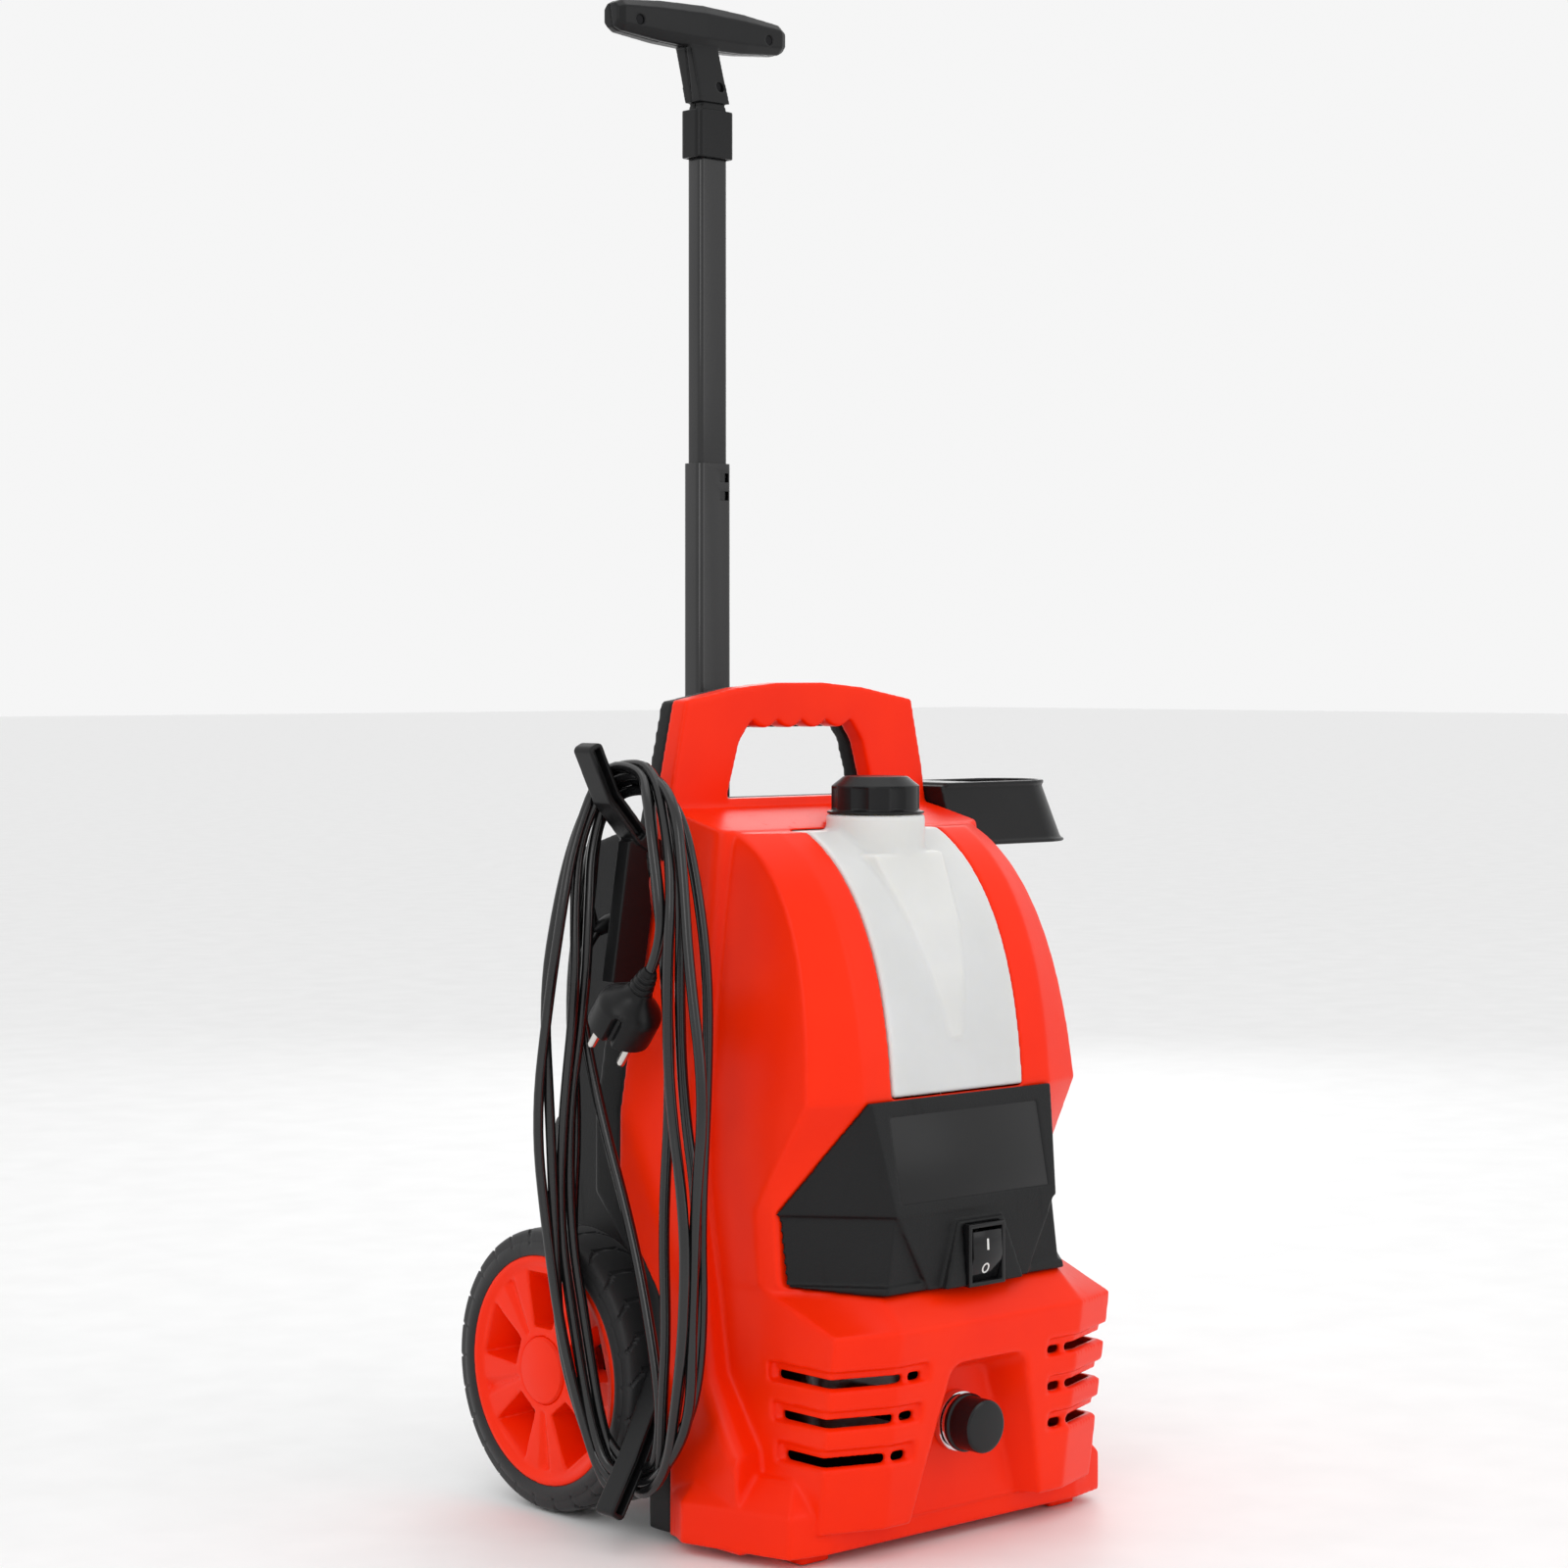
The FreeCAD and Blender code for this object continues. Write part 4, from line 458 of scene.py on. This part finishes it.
# ---------------------------------------------------------------- mains cord
CORD_DIAMETER = 6.0
TURNS = 6
LEAD_ROUTE = [(-113, 14, 338), (-129, 14, 338), (-139, 17, 326), (-143, 21, 308)]
DESCENT = [(-140, 20, 280), (-138, 6, 230), (-139, -22, 170), (-143, -44, 115),
           (-146, -56, 74), (-144, -47, 42)]
TAIL_ROUTE = [(-137, -28, 424), (-147, -45, 408), (-154, -58, 384), (-157, -68, 354),
              (-156, -67, 331), (-155, -57.35, 316.45)]
# One turn from the lower hook round the back to the top and down the front, as (y, z) where
# it is tight and (y, z) where it is loose.
TURN_STATIONS = [
    ((-20, 0), (-14, 0)), ((-3, 24), (6, 20)), ((8, 112), (24, 100)), ((14, 170), (35, 160)),
    ((16, 235), (41, 220)), ((15, 300), (38, 290)), ((15, 350), (31, 355)), ((18, 384), (23, 394)),
    ((10, 0), (9, 0)), ((-6, 6), (-14, 9)), ((-28, 5), (-46, 8)), ((-46, 394), (-76, 406)),
    ((-58, 362), (-94, 368)), ((-65, 315), (-101, 318)), ((-72, 250), (-107, 252)),
    ((-78, 185), (-111, 190)),
    ((-78, 125), (-110, 130)), ((-70, 82), (-104, 86)), ((-58, 16), (-78, 22)), ((-43, 0), (-48, 1)),
]
AT_LOWER_HOOK = (0, 1, 18, 19)
AT_UPPER_HOOK = (8, 9, 10)
# How far each station's x lies from the turn's own layer towards its place on the near hook.
PULLED_TO_HOOK = {2: 0.25, 6: 0.2, 7: 0.55, 11: 0.55, 12: 0.2, 17: 0.3}
REAR_LOOSE = (0.75, 0.10, 0.50, 0.48, 0.02, 0.25)
FRONT_LOOSE = (0.26, 0.60, 0.02, 0.36, -0.30, 0.60)
LAYER = (0, 3, 1, 4, 2, 5)
WAVE = 8.0
# Places of the turns on each hook: two columns side by side, three rows deep.
TOP_X, TOP_Z, TOP_ROW = (-127.8, -134.2), (405.5, 413.0), 6.3
FOOT_X, FOOT_Z, FOOT_ROW = (-142.0, -148.4), (41.5, 34.5), -5.4
FIRST_SEED = 40


def layer_x(index, z):
    """How far out a turn hangs at a height: each has a layer of its own, leaning in at the top."""
    share = min(1.0, max(0.0, (z - 80) / 250))
    return (-142.5 - 5.2 * LAYER[index]) * (1 - share) + (-133.0 - 6.2 * LAYER[index]) * share


def hank_turn(index):
    """Points of one turn: it takes its own place over the upper hook and under the lower one."""
    column, row = index % 2, index // 2
    top_x, top_z = TOP_X[column], TOP_Z[column] + TOP_ROW * row
    foot_x, foot_z = FOOT_X[column], FOOT_Z[column] + FOOT_ROW * row
    wander = random.Random(FIRST_SEED + index)
    phase = wander.uniform(0, 2 * math.pi)
    period = wander.uniform(190, 290)
    points = []
    for number, (tight, loose) in enumerate(TURN_STATIONS):
        share = REAR_LOOSE[index] if 1 <= number <= 8 else FRONT_LOOSE[index]
        y = tight[0] + (loose[0] - tight[0]) * share
        z = tight[1] + (loose[1] - tight[1]) * share
        if number in AT_UPPER_HOOK:
            points.append((top_x, y, top_z + z))
        elif number in AT_LOWER_HOOK:
            points.append((foot_x - z * 0.1, y, foot_z + z))
        else:
            swell = math.sin(math.pi * (z - 60) / 350)
            sway = WAVE * swell * math.sin(2 * math.pi * z / period + phase + number // 9)
            near = top_x if z > 200 else foot_x
            x = layer_x(index, z)
            x += (near - x) * PULLED_TO_HOOK.get(number, 0)
            points.append((x, y + sway, z + wander.uniform(-4, 4)))
    return points


SPLINE_STEPS = 6


def cord_points():
    points = LEAD_ROUTE + DESCENT
    for index in range(TURNS - 1):
        points = points + hank_turn(index)
    last = hank_turn(TURNS - 1)
    return points + last[:AT_UPPER_HOOK[1]] + TAIL_ROUTE


def route_spline(name, points, bevel_depth=0.0):
    curve = bpy.data.curves.new(name, "CURVE")
    curve.dimensions = "3D"
    spline = curve.splines.new("NURBS")
    spline.points.add(len(points) - 1)
    for point, place in zip(spline.points, points):
        point.co = (*spot(*place), 1)
    spline.order_u = 3
    spline.use_endpoint_u = True
    spline.resolution_u = SPLINE_STEPS
    curve.resolution_u = SPLINE_STEPS
    curve.bevel_depth = bevel_depth
    curve.bevel_resolution = 3
    curve.use_fill_caps = True
    item = bpy.data.objects.new(name, curve)
    bpy.context.scene.collection.objects.link(item)
    return item


def followed(item):
    """The points that a curve with no bevel runs through."""
    mesh = bpy.data.meshes.new_from_object(item)
    points = [vertex.co.copy() for vertex in mesh.vertices]
    bpy.data.meshes.remove(mesh)
    return points


PLUG_PLACE = (-155, -30, 282)
PLUG_ALONG = Vector((0, -0.622, 0.783)).normalized()
PLUG_WIDE = Vector((0.54, -0.66, -0.52))
PLUG_ACROSS = PLUG_ALONG.cross(PLUG_WIDE).normalized()
PLUG_WIDE = PLUG_ACROSS.cross(PLUG_ALONG).normalized()


def plug_point(wide, across, along):
    """A point on the plug: along its pins' line, across it, and up from the pin face."""
    place = PLUG_WIDE * wide + PLUG_ACROSS * across + PLUG_ALONG * along
    return spot(*PLUG_PLACE) + place * MM


def make_plug():
    """Round plug: a drum with a slot down each flank, a domed back and a ribbed tail."""
    count = 96
    slot_half, slot_depth, slot_fade = 2.6, 4.2, 0.035
    pin_half_pitch, pin_points = 9.5, 24
    levels = [
        (0.0, 17.6, 1.0), (0.7, 18.4, 1.0), (3.0, 18.5, 1.0), (15.0, 18.5, 1.0), (16.2, 18.4, 0.7),
        (17.4, 18.0, 0.2), (19.0, 17.2, 0.0), (21.0, 15.2, 0.0), (23.0, 12.6, 0.0),
        (25.0, 10.2, 0.0),
        (27.0, 8.4, 0.0), (29.0, 7.6, 0.0), (30.0, 7.3, 0.0), (30.4, 6.5, 0.0), (31.6, 6.5, 0.0),
        (32.0, 6.9, 0.0), (33.6, 6.6, 0.0), (34.0, 5.8, 0.0), (35.2, 5.8, 0.0), (35.6, 6.2, 0.0),
        (37.2, 5.9, 0.0), (37.6, 5.1, 0.0), (38.8, 5.1, 0.0), (39.2, 5.5, 0.0), (40.8, 5.2, 0.0),
        (41.2, 4.5, 0.0), (42.6, 4.4, 0.0), (44.0, 3.6, 0.0),
    ]
    rings = []
    for along, radius, slot in levels:
        ring = []
        for i in range(count):
            angle = 2 * math.pi * i / count
            c, s = math.cos(angle), math.sin(angle)
            half_slot = slot_half / radius
            notch = slot_depth * slot * max(0.0, min(1.0, (half_slot - abs(c)) / slot_fade))
            size = radius - notch
            ring.append(plug_point(c * size, s * size, along))
        rings.append(ring)
    body = soften(ring_stack("mains_plug", rings), 40)
    stand_for(body, "machine", "black_trim", MATERIALS["black_trim"], "plug_body")
    pins = []
    for side in (-1, 1):
        rings = []
        for along, radius in ((0.5, 2.4), (-3.0, 2.4), (-17.0, 2.4), (-18.2, 2.1),
                              (-18.8, 1.5), (-19.0, 0.7)):
            angles = (2 * math.pi * i / pin_points for i in range(pin_points))
            rings.append([plug_point(side * pin_half_pitch + radius * math.cos(a),
                                     radius * math.sin(a), along) for a in angles])
        pins.append(ring_stack(f"pin_{side}", rings))
    both = soften(joined(pins, "plug_pin_pair"), 40)
    stand_for(both, "machine", "steel", NICKEL, "plug_pins")
    return body, both


def joined(items, name):
    """Several objects as one mesh."""
    shape = bmesh.new()
    for item in items:
        shape.from_mesh(item.data)
        bpy.data.objects.remove(item)
    mesh = bpy.data.meshes.new(name)
    shape.to_mesh(mesh)
    shape.free()
    result = bpy.data.objects.new(name, mesh)
    bpy.context.scene.collection.objects.link(result)
    return result


SLEEVE_POINTS = 28
SLEEVE_LENGTH = 0.024


def tapered_sleeve(name, points, radii):
    """A ribbed strain relief that follows the cord's first stretch."""
    rings = []
    for i, point in enumerate(points):
        ahead = points[min(i + 1, len(points) - 1)] - points[max(i - 1, 0)]
        turn_to = ahead.to_track_quat("Z", "Y")
        angles = (2 * math.pi * k / SLEEVE_POINTS for k in range(SLEEVE_POINTS))
        rings.append([point + turn_to @ Vector((math.cos(a), math.sin(a), 0)) * radii[i] * MM
                      for a in angles])
    return soften(ring_stack(name, rings), 45)


def make_cord():
    points = cord_points()
    plain = route_spline("route", points)
    line = followed(plain)
    bpy.data.objects.remove(plain)
    lead = route_spline("mains_cord", points, CORD_DIAMETER / 2 * MM)
    lead.data.materials.append(MATERIALS["cord_pvc"])
    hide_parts("cord_hank", "cord_lead", "cord_tail")
    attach(lead, "machine")
    start = spot(*LEAD_ROUTE[0])
    _, exit_y, exit_z = LEAD_ROUTE[0]
    stations = [spot(x, exit_y, exit_z) for x in (-103, -107.5, -108)]
    radii = [6.4, 6.4, 5.9]
    near = [p for p in line if 0.001 < (p - start).length < SLEEVE_LENGTH and p.z > 0.300]
    sleeve_line = [start] + near[::2]
    for i, place in enumerate(sleeve_line):
        radii.append(5.7 - 1.9 * i / len(sleeve_line) - (0.5 if i % 2 else 0.0))
        stations.append(place)
    relief = tapered_sleeve("strain_relief", stations, radii)
    stand_for(relief, "machine", "black_trim", MATERIALS["black_trim"], "cord_gland")
    plug, pins = make_plug()


make_cord()


# ---------------------------------------------------------------- casing and plain parts
def make_casing():
    """Moulded parts: finish, voxel in mm, smoothing passes and the triangles to keep."""
    moulded("front_shell", MATERIALS["red_abs"], 1.2, 10, 195000)
    moulded("rear_shell", MATERIALS["black_casing"], 1.5, 6, 150000)
    moulded("control_panel", MATERIALS["black_casing"], 0.9, 5, 120000)
    eased("panel_plate", MATERIALS["panel_blank"], 0.2)
    moulded("detergent_tank", MATERIALS["tank_white"], 1.1, 14, 90000)
    moulded("gun_holder", MATERIALS["black_trim"], 0.9, 2, 40000)
    for node in ("upper_cable_hook", "lower_cable_hook"):
        moulded(node, MATERIALS["black_trim"], 0.5, 14, 24000)
    moulded("tank_cap", MATERIALS["black_trim"], 0.4, 4, 60000)


def make_handle():
    for node in ("grip_front_half", "grip_rear_half"):
        moulded(node, MATERIALS["black_trim"], 0.7, 6, 50000)
    moulded("handle_collar", MATERIALS["black_trim"], 0.5, 3, 30000)
    for node in ("handle_outer_tube", "handle_inner_tube"):
        eased(node, MATERIALS["black_tube"], 0.3)
    eased("handle_guide", MATERIALS["black_trim"], 0.3)


def make_outlet():
    """Chromed threaded nozzle in the front arch, and the push-on cover over it."""
    thread = [(12.4 if step % 2 else 11.6, 105 + 0.75 * step) for step in range(13)]
    flange = [(5, 0), (9, 0), (9, 91), (13.8, 93), (13.8, 97.1), (16.2, 97.2), (16.6, 97.8),
              (16.6, 101.5), (16.2, 102.1), (15, 102.4), (15, 104.2), (12.4, 104.6)]
    profile = flange + thread + [(11.2, 115.4), (10.6, 116), (5, 116)]
    nozzle = lathe("outlet_nozzle", profile, 96, spot(*NOZZLE_SEAT))
    soften(nozzle, 30)
    stand_for(nozzle, "machine", "chrome_brass", MATERIALS["chrome_brass"], "outlet_coupling")
    profile = [(0, 17), (0, 14.5), (10.5, 14.5), (13.2, 13), (13.6, 0), (15.6, 0), (16, 0.5),
               (16, 2.3), (15.5, 2.8), (14.9, 3.2), (14.6, 3.9), (14.6, 15.2), (14.3, 16.2),
               (13.5, 16.8), (12.6, 17)]
    cover = lathe("outlet_cover", profile, 96, spot(*COVER_SEAT))
    soften(cover, 30)
    stand_for(cover, "dust_cap", "black_trim", MATERIALS["switch_black"], "outlet_dust_cap")


# ---------------------------------------------------------------- switch
def make_switch():
    """Bezel, rocker, and the on and off marks that lie on the rocker's two faces."""
    eased("switch_bezel", MATERIALS["switch_black"], 0.4)
    eased("switch_rocker", MATERIALS["switch_black"], 0.5)
    tilt = Matrix.Rotation(math.radians(8), 3, "X")
    axis = spot(*SWITCH_AXIS)
    bar = [(-0.7, 3.6), (0.7, 3.6), (0.7, 9.6), (-0.7, 9.6)]
    count = 32
    ring_radius, off_mark_z = 2.7, -6.8
    angles = [2 * math.pi * i / count for i in range(count)]
    outer = [(ring_radius * math.cos(a), ring_radius * math.sin(a)) for a in angles]
    shape = bmesh.new()

    def on_face(x, up):
        return axis + tilt @ Vector((x * MM, (-9.72 + abs(up) * 0.2) * MM, up * MM))

    corners = [shape.verts.new(on_face(x, z)) for x, z in bar]
    shape.faces.new(corners)
    inner_ring = [shape.verts.new(on_face(x * 0.62, z * 0.78 + off_mark_z)) for x, z in outer]
    outer_ring = [shape.verts.new(on_face(x, z * 1.12 + off_mark_z)) for x, z in outer]
    for i in range(count):
        j = (i + 1) % count
        shape.faces.new((outer_ring[i], outer_ring[j], inner_ring[j], inner_ring[i]))
    bmesh.ops.recalc_face_normals(shape, faces=shape.faces)
    for face in shape.faces:
        if face.normal.y > 0:
            face.normal_flip()
    mesh = bpy.data.meshes.new("switch_marks")
    shape.to_mesh(mesh)
    shape.free()
    item = bpy.data.objects.new("switch_marks", mesh)
    bpy.context.scene.collection.objects.link(item)
    thick = item.modifiers.new("thick", "SOLIDIFY")
    thick.thickness = 0.25 * MM
    thick.offset = -1
    settled(item)
    stand_for(item, "rocker", "switch_black", WHITE_MARK)


# ---------------------------------------------------------------- wheels
def make_tyre(side, sign):
    """Tyre with slanted grooves round its shoulders and two bands round its tread."""
    wide = 37.0
    rim, big = 65.0, 80.0
    profile = [(rim, 2.0), (rim + 1.2, 1.0), (rim + 3.5, 0.5), (rim + 6.0, 0.7), (rim + 8.0, 1.4)]
    shoulder = []
    steps = 26
    power = 0.42
    for i in range(steps + 1):
        t = i / steps
        angle = math.pi * t
        lean_out = math.copysign(abs(math.cos(angle)) ** power, math.cos(angle))
        x = wide / 2 - (wide / 2 - 1.6) * lean_out
        r = big - 7.5 + 7.5 * math.sin(angle) ** power
        shoulder.append((r, x))
    outer = [(radius, wide - height) for radius, height in reversed(profile)]
    points = profile + shoulder + outer
    around = 480
    grooves = 26
    groove_deep, groove_half = 1.5, 0.055
    outer_face = 138.0
    place = spot((outer_face - wide) * sign, AXLE_Y, AXLE_Z)
    turn_to = Matrix.Rotation(math.pi / 2 * sign, 4, "Y")
    verts = []
    for i in range(around):
        angle = 2 * math.pi * i / around
        for radius, height in points:
            from_middle = abs(height - wide / 2)
            groove = 0.0
            if radius > big - 9.0:
                lean = 0.012 * (from_middle - 9.0)
                phase = ((angle + lean) * grooves / (2 * math.pi)) % 1.0
                slanted = from_middle > 5.5 and min(phase, 1 - phase) < groove_half
                if slanted or 4.2 < from_middle < 5.9:
                    groove = groove_deep
            r = (radius - groove) * MM
            verts.append((r * math.cos(angle), r * math.sin(angle), height * MM))
    item = new_mesh_object(f"{side}_tread_tyre", verts, wrapped(around, len(points)))
    item.data.transform(Matrix.Translation(place) @ turn_to)
    outward(item)
    soften(item, 30)
    stand_for(item, f"{side}_wheel", "tyre_rubber", MATERIALS["tyre_rubber"], f"{side}_tyre")


def make_wheels():
    for side, sign in (("left", -1), ("right", 1)):
        moulded(f"{side}_wheel_rim", MATERIALS["red_abs"], 0.9, 3, 110000)
        eased(f"{side}_hub_cap", MATERIALS["red_abs"], 0.3, 28)
        make_tyre(side, sign)


# ---------------------------------------------------------------- inside parts and fasteners
def finish_rest():
    """Every part that keeps its own shape takes its finish."""
    for node, item in NODES.items():
        if not item.hide_render:
            finish_node(node, MATERIALS[SLOT_OF[node]])
    for node in ("grip_screws", "casing_screws"):
        finish_node(node, BLACK_SCREW)


make_casing()
make_handle()
make_outlet()
make_switch()
make_wheels()
finish_rest()
set_stage()
set_light()
